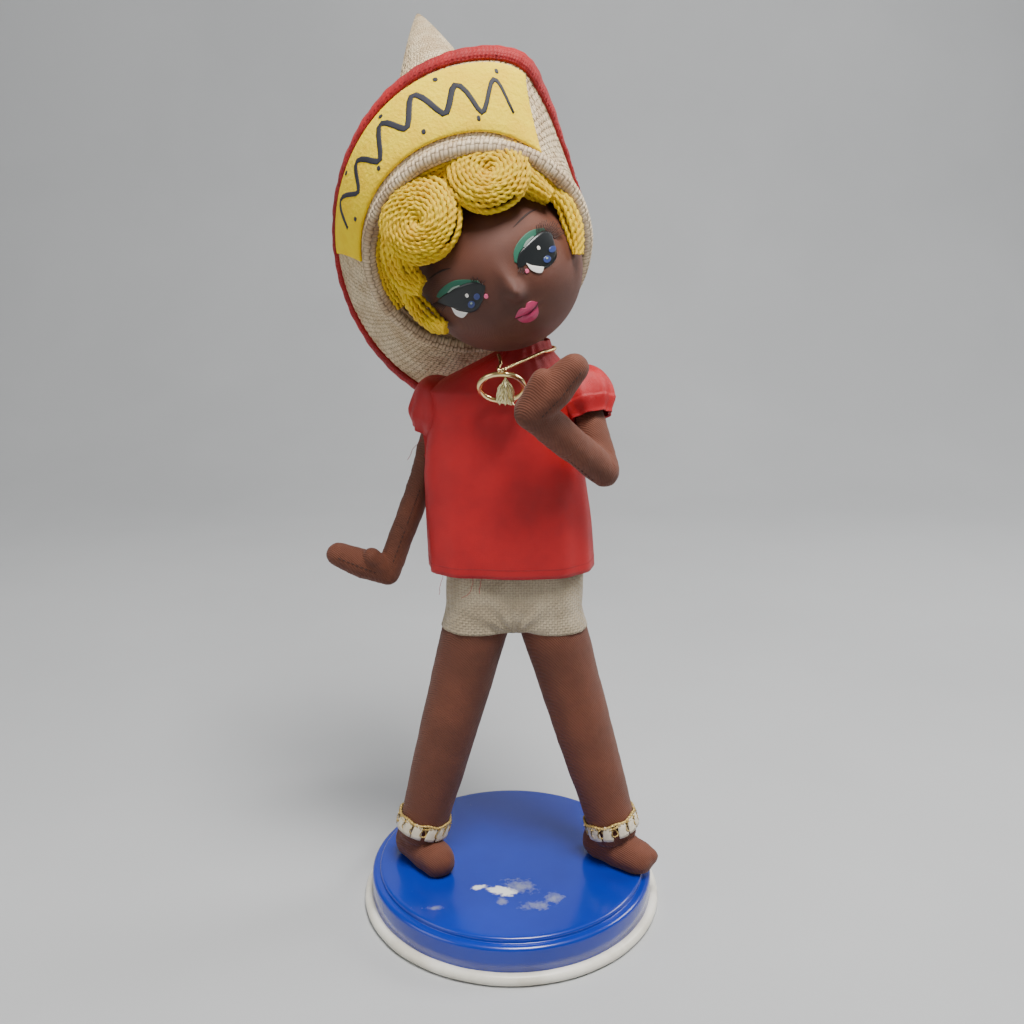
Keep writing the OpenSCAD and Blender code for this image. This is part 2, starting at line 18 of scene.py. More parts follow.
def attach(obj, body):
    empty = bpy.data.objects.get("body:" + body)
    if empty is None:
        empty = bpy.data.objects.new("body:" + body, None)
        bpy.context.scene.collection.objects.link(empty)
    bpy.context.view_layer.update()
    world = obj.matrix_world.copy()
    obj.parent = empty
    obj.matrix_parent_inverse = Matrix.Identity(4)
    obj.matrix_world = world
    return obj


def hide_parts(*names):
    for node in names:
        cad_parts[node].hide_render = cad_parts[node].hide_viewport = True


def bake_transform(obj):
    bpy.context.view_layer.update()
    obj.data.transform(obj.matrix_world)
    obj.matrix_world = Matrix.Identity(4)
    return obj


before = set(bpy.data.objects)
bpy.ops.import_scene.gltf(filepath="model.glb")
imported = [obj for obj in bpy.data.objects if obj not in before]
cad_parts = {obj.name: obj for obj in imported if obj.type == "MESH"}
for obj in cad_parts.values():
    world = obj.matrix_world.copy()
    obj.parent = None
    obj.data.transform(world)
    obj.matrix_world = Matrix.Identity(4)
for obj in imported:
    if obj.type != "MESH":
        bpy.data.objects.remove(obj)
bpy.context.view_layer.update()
MM = 0.001

# %% [markdown]
# The main points of the doll are the same as in the CAD source: the stand, the hips, the neck,
# the head, and a shoulder, elbow, wrist and finger tip for each arm. All are in millimetres here
# and are turned into metres only when a mesh is made. Left and right are the doll's own.


# %% Points shared by the pieces
def at(*xyz):
    return np.array(xyz, float)


def unit(v):
    v = np.asarray(v, float)
    return v / np.linalg.norm(v)


def lerp(a, b, t):
    return a + (b - a) * t


def ramp(low, high, t):
    k = np.clip((t - low) / (high - low), 0, 1)
    return k * k * (3 - 2 * k)


STAND_R, BEAD_D, DECK = 55.0, 4.2, 15.0
TIN_R = STAND_R - BEAD_D + 1.2
NECK = at(5, -1, 207)
HEAD = NECK + at(-8.5, -6.5, 24.6)
HEAD_R, HEAD_ROLL = 26.0, math.radians(32.5)
UPPER, FORE, HAND = 27.0, 37.0, 18.8
right_arm = {"shoulder": at(-24, 3, 185)}
right_arm["elbow"] = right_arm["shoulder"] + UPPER * unit((-7, 5, -26))
right_arm["wrist"] = right_arm["elbow"] + FORE * unit((-12.5, -1, -33))
right_arm["tip"] = right_arm["wrist"] + HAND * unit((-17, -3, 8))
left_arm = {"shoulder": at(24, -1, 190)}
left_arm["elbow"] = left_arm["shoulder"] + UPPER * unit((6, -12, -22))
left_arm["wrist"] = left_arm["elbow"] + FORE * unit((-22.5, -16, 21.5))
left_arm["tip"] = left_arm["wrist"] + HAND * unit((9.5, -2, 10.5))
HIP_Z = 110
legs = {"right": (at(-36.6, -2, DECK), at(-12, 0, HIP_Z)), "left": (at(41.6, -2, DECK), at(14, 0, HIP_Z))}
foot_turn = {"right": unit((17, -23, 0)), "left": unit((18, -15, 0))}
ANKLE_Z, ANKLE_R, HIP_R = DECK + 12.5, 8.4, 11.3
print("hanging wrist at", np.round(right_arm["wrist"], 1), "raised wrist at", np.round(left_arm["wrist"], 1))

# %% [markdown]
# Most meshes start as a grid of points: rows along the piece and columns round it. The grid
# keeps a UV map in millimetres, so that a weave follows the cloth. Stuffed shapes that branch,
# such as a hand with its thumb, start as balls wrapped in hulls, which a voxel remesh joins
# into one skin and a smoothing pass rounds off, as stuffing does.


# %% Mesh helpers
def new_object(name, points, faces, corners=None):
    mesh = bpy.data.meshes.new(name)
    mesh.from_pydata((np.asarray(points, float) * MM).tolist(), [], faces)
    if corners is not None:
        layer = mesh.uv_layers.new(name="cloth")
        layer.data.foreach_set("uv", np.asarray(corners, np.float32).ravel())
    mesh.polygons.foreach_set("use_smooth", [True] * len(mesh.polygons))
    mesh.update()
    obj = bpy.data.objects.new(name, mesh)
    bpy.context.scene.collection.objects.link(obj)
    return obj


def grid(name, points, size=(1, 1), wrap_rows=False, wrap_cols=True, caps=False):
    """A mesh through points[row][column]; size is the UV map's width and height in millimetres."""
    points = np.asarray(points, float)
    rows, cols = points.shape[:2]
    i, j = np.meshgrid(np.arange(rows - (not wrap_rows)), np.arange(cols - (not wrap_cols)), indexing="ij")
    i, j = i.ravel(), j.ravel()
    k, m = (i + 1) % rows, (j + 1) % cols
    faces = np.stack([i * cols + j, i * cols + m, k * cols + m, k * cols + j], 1).tolist()
    u, v = size[0] / max(1, cols - (not wrap_cols)), size[1] / max(1, rows - (not wrap_rows))
    corners = np.stack([j * u, i * v, (j + 1) * u, i * v, (j + 1) * u, (i + 1) * v, j * u, (i + 1) * v], 1)
    corners = corners.reshape(-1, 2).tolist()
    if caps:
        for ring in (list(range(cols))[::-1], [(rows - 1) * cols + c for c in range(cols)]):
            faces.append(ring)
            corners += [[0.0, 0.0]] * cols
    return new_object(name, points.reshape(-1, 3), faces, corners)


def edit(obj, work):
    """Runs work(bm) on the object's mesh."""
    bm = bmesh.new()
    bm.from_mesh(obj.data)
    work(bm)
    bm.to_mesh(obj.data)
    bm.free()
    obj.data.update()
    return obj


def outward(obj):
    return edit(obj, lambda bm: bmesh.ops.recalc_face_normals(bm, faces=bm.faces))


def settle(obj):
    """Applies the object's modifiers, and leaves a plain smooth mesh."""
    depsgraph = bpy.context.evaluated_depsgraph_get()
    mesh = bpy.data.meshes.new_from_object(obj.evaluated_get(depsgraph), depsgraph=depsgraph)
    obj.modifiers.clear()
    obj.data = mesh
    mesh.polygons.foreach_set("use_smooth", [True] * len(mesh.polygons))
    return obj


def thicken(obj, thickness):
    solid = obj.modifiers.new("cloth", "SOLIDIFY")
    solid.thickness = thickness * MM
    solid.offset = -1
    solid.use_even_offset = False
    return settle(obj)


def coords(obj):
    co = np.zeros(len(obj.data.vertices) * 3)
    obj.data.vertices.foreach_get("co", co)
    return co.reshape(-1, 3) / MM


def set_coords(obj, points):
    obj.data.vertices.foreach_set("co", (points * MM).ravel())
    obj.data.update()


def normals(obj):
    found = np.zeros(len(obj.data.vertices) * 3)
    obj.data.vertices.foreach_get("normal", found)
    return found.reshape(-1, 3)


def rough_up(obj, amount, scale, seed=0.0):
    """Pushes points along their normals by smooth noise: amount and scale in millimetres."""
    points = coords(obj)
    lift = [noise.noise(Vector(p / scale) + Vector((seed, 0, 0))) for p in points]
    set_coords(obj, points + normals(obj) * (np.array(lift) * amount)[:, None])
    return obj


def sphere_points(count):
    k = np.arange(count) + 0.5
    z, turn = 1 - 2 * k / count, k * math.pi * (1 + 5 ** 0.5)
    return np.stack([np.sqrt(1 - z * z) * np.cos(turn), np.sqrt(1 - z * z) * np.sin(turn), z], 1)


def stuffed(name, lobes, voxel=0.8, rounds=10):
    """One soft skin round several lobes, each a list of (centre, radius) balls."""
    bm = bmesh.new()
    for lobe in lobes:
        made = [bm.verts.new(Vector((np.asarray(c) + r * d) * MM))
                for c, r in lobe for d in sphere_points(150)]
        bmesh.ops.convex_hull(bm, input=made)
    bmesh.ops.delete(bm, geom=[v for v in bm.verts if not v.link_faces], context="VERTS")
    mesh = bpy.data.meshes.new(name)
    bm.to_mesh(mesh)
    bm.free()
    obj = bpy.data.objects.new(name, mesh)
    bpy.context.scene.collection.objects.link(obj)
    remesh = obj.modifiers.new("skin", "REMESH")
    remesh.mode, remesh.voxel_size = "VOXEL", voxel * MM
    relax = obj.modifiers.new("stuffing", "SMOOTH")
    relax.factor, relax.iterations = 0.5, rounds
    return settle(obj)


def copy_of(obj, name):
    twin = bpy.data.objects.new(name, obj.data.copy())
    bpy.context.scene.collection.objects.link(twin)
    return twin


def cut(obj, point, direction, close=True):
    """Removes what lies further along direction than point."""
    def work(bm):
        geom = bm.verts[:] + bm.edges[:] + bm.faces[:]
        made = bmesh.ops.bisect_plane(bm, geom=geom, plane_co=Vector(point * MM),
                                      plane_no=Vector(unit(direction)), clear_outer=True)
        if close:
            rim = [e for e in made["geom_cut"] if isinstance(e, bmesh.types.BMEdge)]
            bmesh.ops.edgeloop_fill(bm, edges=rim)
    return edit(obj, work)


def fill_hole(obj, centre, within):
    """Closes the open edge that lies nearer to centre than within, both in millimetres."""
    middle = Vector(centre * MM)

    def work(bm):
        open_edges = [e for e in bm.edges if e.is_boundary]
        near = [e for e in open_edges if (e.verts[0].co - middle).length < within * MM]
        bmesh.ops.edgeloop_fill(bm, edges=near)
    return edit(obj, work)


# %% [markdown]
# ## Finishes
# Every finish is a shader node tree. Effects that several of them share are node groups with
# named inputs: a thread pattern on the UV map, a knit on object coordinates, and a blotch that
# varies the colour. A group puts out only a mask or a height, and each material mixes its own
# colours with it and feeds a Bump node. The thread and knit heights also give a mask of painted
# shade, which darkens the colour between threads and stitches.


# %% Node helpers
class Tree:
    """Adds nodes to a tree and links them by socket."""

    def __init__(self, tree):
        self.tree = tree

    def node(self, kind, inputs=None, **settings):
        made = self.tree.nodes.new(kind)
        for key, value in settings.items():
            setattr(made, key, value)
        for key, value in (inputs or {}).items():
            if isinstance(value, bpy.types.NodeSocket):
                self.tree.links.new(value, made.inputs[key])
            else:
                made.inputs[key].default_value = value
        return made

    def math(self, operation, a, b=0.0, c=0.0):
        return self.node("ShaderNodeMath", {0: a, 1: b, 2: c}, operation=operation).outputs[0]

    def mix(self, mask, a, b):
        made = self.node("ShaderNodeMix", {0: mask, 6: a, 7: b}, data_type="RGBA")
        return made.outputs[2]


def effect(name, inputs, outputs):
    group = bpy.data.node_groups.new(name, "ShaderNodeTree")
    for label, kind, default in inputs:
        socket = group.interface.new_socket(label, in_out="INPUT", socket_type=kind)
        if default is not None:
            socket.default_value = default
    for label in outputs:
        group.interface.new_socket(label, in_out="OUTPUT", socket_type="NodeSocketFloat")
    return group, Tree(group), group.nodes.new("NodeGroupInput"), group.nodes.new("NodeGroupOutput")


VECTOR, FLOAT = "NodeSocketVector", "NodeSocketFloat"

# %% A plain weave on the UV map: threads over and under each other
weave, t, source, sink = effect(
    "plain_weave", [("Vector", VECTOR, None), ("Warp", FLOAT, 1.0), ("Weft", FLOAT, 1.0)],
    ["Height", "Over"])
parts = t.node("ShaderNodeSeparateXYZ", {0: source.outputs["Vector"]})
wave_u = t.math("SINE", t.math("MULTIPLY", t.math("MULTIPLY", parts.outputs[0], source.outputs["Warp"]),
                               math.pi))
wave_v = t.math("SINE", t.math("MULTIPLY", t.math("MULTIPLY", parts.outputs[1], source.outputs["Weft"]),
                               math.pi))
over = t.math("GREATER_THAN", t.math("MULTIPLY", wave_u, wave_v), 0.0)
warp, weft = t.math("ABSOLUTE", wave_u), t.math("ABSOLUTE", wave_v)
height = t.math("ADD", t.math("MULTIPLY", warp, over),
                t.math("MULTIPLY", weft, t.math("SUBTRACT", 1.0, over)))
weave.links.new(t.math("POWER", height, 0.5), sink.inputs["Height"])
weave.links.new(over, sink.inputs["Over"])

# %% A knit on object coordinates: fine ribs broken up by noise
knit, t, source, sink = effect(
    "fine_knit", [("Vector", VECTOR, None), ("Stitches per m", FLOAT, 2200.0), ("Unevenness", FLOAT, 1.5)],
    ["Height"])
ribs = t.node("ShaderNodeTexWave", {"Vector": source.outputs["Vector"],
                                    "Scale": source.outputs["Stitches per m"],
                                    "Distortion": source.outputs["Unevenness"], "Detail": 2.0,
                                    "Detail Scale": 1.5},
              wave_type="BANDS", bands_direction="DIAGONAL")
grains = t.node("ShaderNodeTexNoise", {"Vector": source.outputs["Vector"],
                                       "Scale": source.outputs["Stitches per m"],
                                       "Detail": 2.0})
knit.links.new(t.math("MULTIPLY_ADD", ribs.outputs["Fac"], 0.5,
                      t.math("MULTIPLY", grains.outputs["Fac"], 0.5)),
               sink.inputs["Height"])

# %% Blotches: a mask of soft patches
blotch, t, source, sink = effect(
    "blotches", [("Vector", VECTOR, None), ("Patches per m", FLOAT, 60.0), ("Low", FLOAT, 0.4),
                 ("High", FLOAT, 0.62)],
    ["Mask"])
cloud = t.node("ShaderNodeTexNoise", {"Vector": source.outputs["Vector"],
                                      "Scale": source.outputs["Patches per m"],
                                      "Detail": 4.0, "Roughness": 0.55})
spread = t.node("ShaderNodeMapRange", {"Value": cloud.outputs["Fac"], "From Min": source.outputs["Low"],
                                       "From Max": source.outputs["High"]})
blotch.links.new(spread.outputs[0], sink.inputs["Mask"])
print("effects:", [g.name for g in (weave, knit, blotch)])


# %% A finish from two colours, a blotch, and a relief
def finish(name, color, shade, rough, relief=None, depth=0.15, patches=60.0, **constants):
    """A colour that drifts from color to shade; relief(tree, place) gives (height, painted shade mask or
    None, its colour).
    """
    material = bpy.data.materials.new(name)
    material.use_nodes = True
    tree = Tree(material.node_tree)
    shader = material.node_tree.nodes["Principled BSDF"]
    shader.inputs["Roughness"].default_value = rough
    for key, value in constants.items():
        shader.inputs[key.replace("_", " ")].default_value = value
    place = tree.node("ShaderNodeTexCoord")
    clouds = tree.node("ShaderNodeGroup", {}, node_tree=blotch)
    material.node_tree.links.new(place.outputs["Object"], clouds.inputs["Vector"])
    clouds.inputs["Patches per m"].default_value = patches
    tint = tree.mix(clouds.outputs["Mask"], (*color, 1), (*shade, 1))
    if relief:
        height, mask, painted_recess_shade = relief(tree, place)
        # painted shade: the colour darkens where the thread or knit relief is low
        if mask is not None:
            tint = tree.mix(mask, tint, (*painted_recess_shade, 1))
        bump = tree.node("ShaderNodeBump", {"Height": height, "Strength": 1.0, "Distance": depth * MM})
        material.node_tree.links.new(bump.outputs["Normal"], shader.inputs["Normal"])
    material.node_tree.links.new(tint, shader.inputs["Base Color"])
    return material


def woven(warp, weft, painted_recess_shade, share=0.55):
    """Relief of threads on the UV map, warp and weft threads per millimetre, with painted shade darkening
    the colour between them.
    """
    def relief(tree, place):
        made = tree.node("ShaderNodeGroup", {}, node_tree=weave)
        tree.tree.links.new(place.outputs["UV"], made.inputs["Vector"])
        made.inputs["Warp"].default_value, made.inputs["Weft"].default_value = warp, weft
        # painted shade between the threads, stronger where the relief is lower
        gap = tree.math("MULTIPLY", tree.math("SUBTRACT", 1.0, made.outputs["Height"]), share)
        return made.outputs["Height"], gap, painted_recess_shade
    return relief


def knitted(stitches, painted_recess_shade, share=0.35):
    def relief(tree, place):
        made = tree.node("ShaderNodeGroup", {}, node_tree=knit)
        tree.tree.links.new(place.outputs["Object"], made.inputs["Vector"])
        made.inputs["Stitches per m"].default_value = stitches
        # painted shade in the hollows of the knit, stronger where the relief is lower
        gap = tree.math("MULTIPLY", tree.math("SUBTRACT", 1.0, made.outputs["Height"]), share)
        return made.outputs["Height"], gap, painted_recess_shade
    return relief


def plain(tree, place):
    """No more relief than a fine grain."""
    grain = tree.node("ShaderNodeTexNoise", {"Vector": place.outputs["Object"], "Scale": 900.0,
                                             "Detail": 3.0})
    return grain.outputs["Fac"], None, None


# %% The cloth, wool, straw, metal and paint finishes
skin = finish("stockinette", (0.165, 0.045, 0.019), (0.125, 0.034, 0.014), 0.8,
              knitted(620, (0.045, 0.012, 0.006), 0.45),
              0.22, Sheen_Weight=0.08, Sheen_Roughness=0.5)
face_skin = finish("face_cloth", (0.13, 0.036, 0.016), (0.085, 0.024, 0.012), 0.62,
                   knitted(1300, (0.05, 0.014, 0.007), 0.3),
                   0.06, patches=35.0, Sheen_Weight=0.05)
satin = finish("satin", (0.52, 0.004, 0.008), (0.4, 0.003, 0.007), 0.46,
               woven(4.0, 4.0, (0.22, 0.002, 0.004), 0.35),
               0.04, Sheen_Weight=0.12, Sheen_Roughness=0.3, Sheen_Tint=(1.0, 0.2, 0.2, 1))
linen = finish("linen", (0.5, 0.41, 0.28), (0.4, 0.32, 0.21), 0.85,
               woven(1.05, 1.05, (0.22, 0.16, 0.1), 0.75), 0.25,
               patches=120.0, Sheen_Weight=0.2)
straw = finish("straw", (0.86, 0.7, 0.45), (0.68, 0.51, 0.3), 0.6,
               woven(0.62, 0.62, (0.2, 0.11, 0.05), 0.85), 0.45,
               patches=160.0)
straw_roll = finish("straw_roll", (0.8, 0.64, 0.42), (0.5, 0.34, 0.19), 0.58,
                    woven(0.4, 0.83, (0.12, 0.06, 0.03), 0.95),
                    0.4, patches=110.0)
wool = finish("wool", (0.98, 0.68, 0.01), (0.88, 0.54, 0.005), 0.75,
              knitted(1500, (0.5, 0.24, 0.008), 0.35), 0.15,
              patches=180.0, Sheen_Weight=0.25, Sheen_Roughness=0.4, Sheen_Tint=(1.0, 0.8, 0.2, 1))
felt = finish("felt", (1.0, 0.72, 0.0), (0.94, 0.62, 0.0), 0.95, plain, 0.35, patches=150.0)
tape = finish("binding_tape", (0.48, 0.005, 0.008), (0.36, 0.004, 0.007), 0.65,
              woven(1.6, 1.6, (0.16, 0.002, 0.004), 0.6), 0.15,
              Sheen_Weight=0.05)
ink = finish("felt_pen", (0.02, 0.02, 0.03), (0.035, 0.035, 0.05), 0.7, plain, 0.05)
thread_red = finish("red_thread", (0.3, 0.004, 0.008), (0.2, 0.003, 0.006), 0.6, plain, 0.05)
thread_brown = finish("seam_thread", (0.05, 0.02, 0.013), (0.03, 0.012, 0.008), 0.8, plain, 0.05)
gilt = finish("gilt", (0.95, 0.74, 0.36), (0.86, 0.62, 0.28), 0.2, plain, 0.02, Metallic=1.0)
tinsel = finish("tinsel", (0.95, 0.86, 0.5), (0.75, 0.6, 0.25), 0.25, plain, 0.05, Metallic=1.0)
ivory = finish("ivory_tape", (0.74, 0.67, 0.52), (0.6, 0.51, 0.35), 0.6,
               knitted(1400, (0.5, 0.42, 0.28), 0.25), 0.08,
               Sheen_Weight=0.2)
gold_thread = finish("gold_thread", (0.75, 0.55, 0.2), (0.6, 0.4, 0.12), 0.4,
                     knitted(1600, (0.3, 0.18, 0.05), 0.4), 0.1,
                     Metallic=0.6)
white_enamel = finish("white_enamel", (0.86, 0.83, 0.73), (0.7, 0.66, 0.55), 0.35, plain, 0.04, patches=70.0)
wood = finish("pine", (0.6, 0.4, 0.2), (0.46, 0.28, 0.13), 0.7, plain, 0.1)
card = finish("greyboard", (0.42, 0.37, 0.3), (0.34, 0.3, 0.24), 0.95, plain, 0.12)
steel = finish("wire", (0.55, 0.56, 0.58), (0.45, 0.46, 0.48), 0.35, plain, 0.02, Metallic=1.0)
calico = finish("calico", (0.62, 0.55, 0.43), (0.52, 0.45, 0.34), 0.9, knitted(900, (0.4, 0.33, 0.24), 0.3),
                0.12)
eye_black = finish("eye_black", (0.006, 0.008, 0.009), (0.01, 0.012, 0.013), 0.32, plain, 0.01)
eye_white = finish("eye_white", (0.85, 0.83, 0.78), (0.78, 0.75, 0.7), 0.35, plain, 0.01)
eye_blue = finish("eye_blue", (0.02, 0.035, 0.16), (0.05, 0.07, 0.2), 0.3, plain, 0.01)
eye_pink = finish("eye_pink", (0.85, 0.16, 0.3), (0.75, 0.1, 0.22), 0.45, plain, 0.01)
lid_green = finish("lid_green", (0.008, 0.085, 0.05), (0.015, 0.12, 0.07), 0.55, plain, 0.01)
lid_pale = finish("lid_pale", (0.3, 0.36, 0.3), (0.22, 0.3, 0.25), 0.4, plain, 0.01)
brow_brown = finish("brow", (0.03, 0.011, 0.009), (0.02, 0.008, 0.006), 0.7, plain, 0.01)
lip_pink = finish("lips", (0.56, 0.06, 0.15), (0.44, 0.035, 0.11), 0.4, plain, 0.02)
lip_dark = finish("lip_line", (0.07, 0.006, 0.014), (0.1, 0.01, 0.02), 0.5, plain, 0.01)


# %% [markdown]
# The stand's blue enamel is glossy, and it has been scuffed where something stood on it: the
# white undercoat shows in one ragged patch, with greyer marks beside it. The scuff is a mask of
# a few soft ellipses on the deck, in object coordinates, broken up by noise.

# %% Blue enamel with its scuffs
def enamel():
    material = finish("blue_enamel", (0.004, 0.028, 0.36), (0.003, 0.022, 0.3), 0.3, plain, 0.015,
                      patches=25.0,
                      Coat_Weight=0.5, Coat_Roughness=0.15)
    nodes, links = material.node_tree.nodes, material.node_tree.links
    tree, shader = Tree(material.node_tree), nodes["Principled BSDF"]
    place = tree.node("ShaderNodeTexCoord").outputs["Object"]
    ragged = tree.node("ShaderNodeTexNoise", {"Vector": place, "Scale": 420.0, "Detail": 8.0,
                                              "Roughness": 0.8})

    def smear(x, y, half_x, half_y, turn):
        """1 in the middle of an ellipse on the deck and 0 outside it."""
        shift = tree.node("ShaderNodeMapping", {"Vector": place, "Location": (x * MM, y * MM, DECK * MM),
                                                "Rotation": (0, 0, math.radians(turn)),
                                                "Scale": (half_x * MM, half_y * MM, 0.004)},
                                                vector_type="TEXTURE")
        far = tree.node("ShaderNodeVectorMath", {0: shift.outputs[0]}, operation="LENGTH")
        return tree.math("MAXIMUM", tree.math("SUBTRACT", 1.0, far.outputs["Value"]), 0.0)

    def torn(core, threshold, gain):
        edge = tree.math("MULTIPLY_ADD", ragged.outputs["Fac"], 2.6, core)
        return tree.node("ShaderNodeMapRange", {"Value": edge, "From Min": threshold,
                                                "From Max": threshold + gain},
                         ).outputs[0]

    white = tree.math("MAXIMUM", smear(-3.5, -22, 9, 4.2, -10), smear(-11.5, -20, 5, 2.4, 15))
    white = tree.math("MAXIMUM", white, smear(-1.5, -23, 4.5, 4.6, -20))
    white = torn(tree.math("MULTIPLY", white, 1.5), 1.85, 0.35)
    grey = tree.math("MAXIMUM", smear(3, -19.5, 10, 7, -20), smear(8.5, -30.5, 9, 4.5, 4))
    grey = tree.math("MAXIMUM", grey, smear(15, -26.5, 6, 5.5, 20))
    grey = tree.math("MAXIMUM", grey, tree.math("MAXIMUM", smear(-3, -28, 4, 4, 0),
                                                smear(-27, -32, 5, 2, 0)))
    grey = tree.math("MULTIPLY", torn(grey, 1.72, 0.5), 0.6)
    old = shader.inputs["Base Color"].links[0].from_socket
    worn = tree.mix(grey, old, (0.34, 0.36, 0.38, 1))
    worn = tree.mix(white, worn, (0.78, 0.79, 0.78, 1))
    links.new(worn, shader.inputs["Base Color"])
    dull = tree.math("MULTIPLY_ADD", tree.math("MAXIMUM", white, grey), 0.45, 0.26)
    links.new(dull, shader.inputs["Roughness"])
    return material


blue_enamel = enamel()
print(len(bpy.data.materials), "finishes")


# %% Dressing a piece: material, body, and the CAD nodes it stands for
def dress(obj, material, body, stands_for=()):
    obj.data.materials.clear()
    obj.data.materials.append(material)
    if isinstance(body, str):
        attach(obj, body)
    if stands_for:
        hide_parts(*stands_for)
    return obj


# %% [markdown]
# ## Camera and light
# The doll is seen from the front and a little above, close enough that the legs taper away.
# A large soft light hangs in front and above, with a weaker one on each side, over a pale floor
# that bends up into a backdrop.

# %% Camera
camera = bpy.data.objects.new("camera", bpy.data.cameras.new("camera"))
bpy.context.scene.collection.objects.link(camera)
camera.location = (0.0002, -0.366, 0.25)
camera.rotation_euler = (math.radians(90 - 15.4), 0, 0)
camera.data.lens, camera.data.sensor_width = 38.78, 36.0
camera.data.clip_start = 0.01
bpy.context.scene.camera = camera


# %% Lights and floor
def soft_light(name, place, target, size, watts, color=(1, 1, 1)):
    lamp = bpy.data.lights.new(name, "AREA")
    lamp.shape, lamp.size, lamp.energy, lamp.color = "DISK", size, watts, color
    obj = bpy.data.objects.new(name, lamp)
    obj.location = place
    obj.rotation_euler = (Vector(target) - Vector(place)).to_track_quat("-Z", "Y").to_euler()
    bpy.context.scene.collection.objects.link(obj)


soft_light("key", (0.12, -0.3, 0.95), (0, 0, 0.17), 0.36, 14.0, (1.0, 0.98, 0.95))
soft_light("left_fill", (-0.9, -0.4, 0.6), (0, 0, 0.15), 0.7, 2.5)
soft_light("right_rim", (0.8, 0.25, 0.65), (0, 0, 0.2), 0.4, 5.0)
world = bpy.data.worlds.new("studio")
world.use_nodes = True
world.node_tree.nodes["Background"].inputs[0].default_value = (0.72, 0.74, 0.76, 1)
world.node_tree.nodes["Background"].inputs[1].default_value = 0.26
bpy.context.scene.world = world

bend = [(-1.5, 0.0), (0.55, 0.0)] + [(0.55 + 0.35 * math.sin(a), 0.35 - 0.35 * math.cos(a))
                                    for a in np.linspace(0.15, math.pi / 2, 12)] + [(0.9, 1.8)]
floor = grid("floor", [[(x / MM, y / MM, z / MM) for x in (-2.2, 2.2)] for y, z in bend], wrap_cols=False)
floor.data.materials.append(finish("backdrop", (0.5, 0.51, 0.52), (0.47, 0.48, 0.49), 0.9, plain, 0.05,
                                   patches=4.0))

# %% [markdown]
# ## The tin stand
# The base is a pressed tin lid: a flat deck, a low step round it, and a straight skirt whose
# foot is rolled into a white beading. Turned shapes like these are a profile swept round an
# axis, so both are lathed from one outline each. Card closes the underside, and a wooden block
# under the deck holds the two leg wires.


# %% Lathe
def lathe(name, outline, steps=256):
    turns = np.linspace(0, 2 * math.pi, steps, endpoint=False)
    rows = [[(r * math.cos(a), r * math.sin(a), z) for a in turns] for r, z in outline]
    return outward(grid(name, rows, wrap_rows=True))


def arc(cx, cz, r, start, end, steps):
    return [(cx + r * math.cos(math.radians(a)), cz + r * math.sin(math.radians(a)))
            for a in np.linspace(start, end, steps)]


TIN = 0.8
step_r = TIN_R - 2.9
deck = [(r, DECK) for r in (0.02, 0.25, 1, 20, 40, step_r - 2.2)]
ridge = arc(step_r - 1.0, DECK - 1.0, 1.0, 90, 0, 7) + arc(step_r + 0.35, DECK - 1.45, 0.35, 180, 270, 5)
outer = deck + ridge + arc(TIN_R - 1.6, DECK - 3.4, 1.6, 90, 0, 9) + [(TIN_R, 8), (TIN_R, 1.7)]
inner = [(TIN_R - TIN, 1.7), (TIN_R - TIN, 10.5), (TIN_R - 2.4, DECK - 2.9), (step_r - 1.6, DECK - 1.7),
         (20, DECK - TIN), (1, DECK - TIN), (0.25, DECK - TIN), (0.02, DECK - TIN)]
base_cap = lathe("tin_cap", outer + inner)
dress(base_cap, blue_enamel, "stand", ["base_cap"])
bead = lathe("rim_bead", arc(STAND_R - BEAD_D / 2, BEAD_D / 2 + 0.02, BEAD_D / 2, -80, 250, 28))
dress(rough_up(bead, 0.12, 9), white_enamel, "stand", ["rim_beading"])
for node, material in (("base_card", card), ("anchor_block", wood)):
    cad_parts[node].data.materials.clear()
    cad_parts[node].data.materials.append(material)
wires = [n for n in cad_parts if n.endswith("_wire")]
for node in wires:
    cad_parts[node].data.materials.clear()
    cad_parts[node].data.materials.append(steel)
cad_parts["neck_swivel"].data.materials.clear()
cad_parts["neck_swivel"].data.materials.append(wood)
print("stand", [round(c, 3) for c in base_cap.dimensions], "wires", len(wires))

# %% [markdown]
# ## Legs and feet
# Each leg is a knitted tube, tapered and tightly filled, and the foot is a small stuffed bag sewn
# to it. A stuffed tube swells between its ends: that bulge is in the tube's own outline. Blender's
# cloth is run on it as well, with pressure inside and a cap on how far any point may go. At this
# size and stiffness it hardly moves the skin: the mean it prints is 0.0 mm.


# %% Swelling by cloth simulation
def swell(obj, reach, frames=10, pressure=60.0):
    """Lets the stuffing press the skin out by at most reach millimetres."""
    before = coords(obj)
    cloth = obj.modifiers.new("swell", "CLOTH")
    cloth.settings.use_pressure, cloth.settings.uniform_pressure_force = True, pressure
    cloth.settings.effector_weights.gravity = 0
    cloth.settings.quality, cloth.settings.mass = 3, 0.001
    scene = bpy.context.scene
    for step in range(1, frames + 1):
        scene.frame_set(step)
    settle(obj)
    scene.frame_set(1)
    moved = coords(obj) - before
    far = np.linalg.norm(moved, axis=1)
    moved *= np.minimum(1, reach / np.maximum(far, 1e-6))[:, None]
    set_coords(obj, before + moved)
    print(obj.name, "swelled by", round(float(np.minimum(far, reach).mean()), 2), "mm")
    return obj


def tube(p, q, radii, steps=60, cols=72):
    """Rows of points round the line from p to q; radii(t) at each share of its length."""
    along = unit(q - p)
    side = unit(np.cross(along, (0, 1, 0)))
    back = np.cross(along, side)
    turns = np.linspace(0, 2 * math.pi, cols, endpoint=False)
    rows = []
    for t in np.linspace(0, 1, steps):
        r = radii(t)
        rows.append([lerp(p, q, t) + r * (math.cos(a) * side + math.sin(a) * back) for a in turns])
    return np.array(rows)


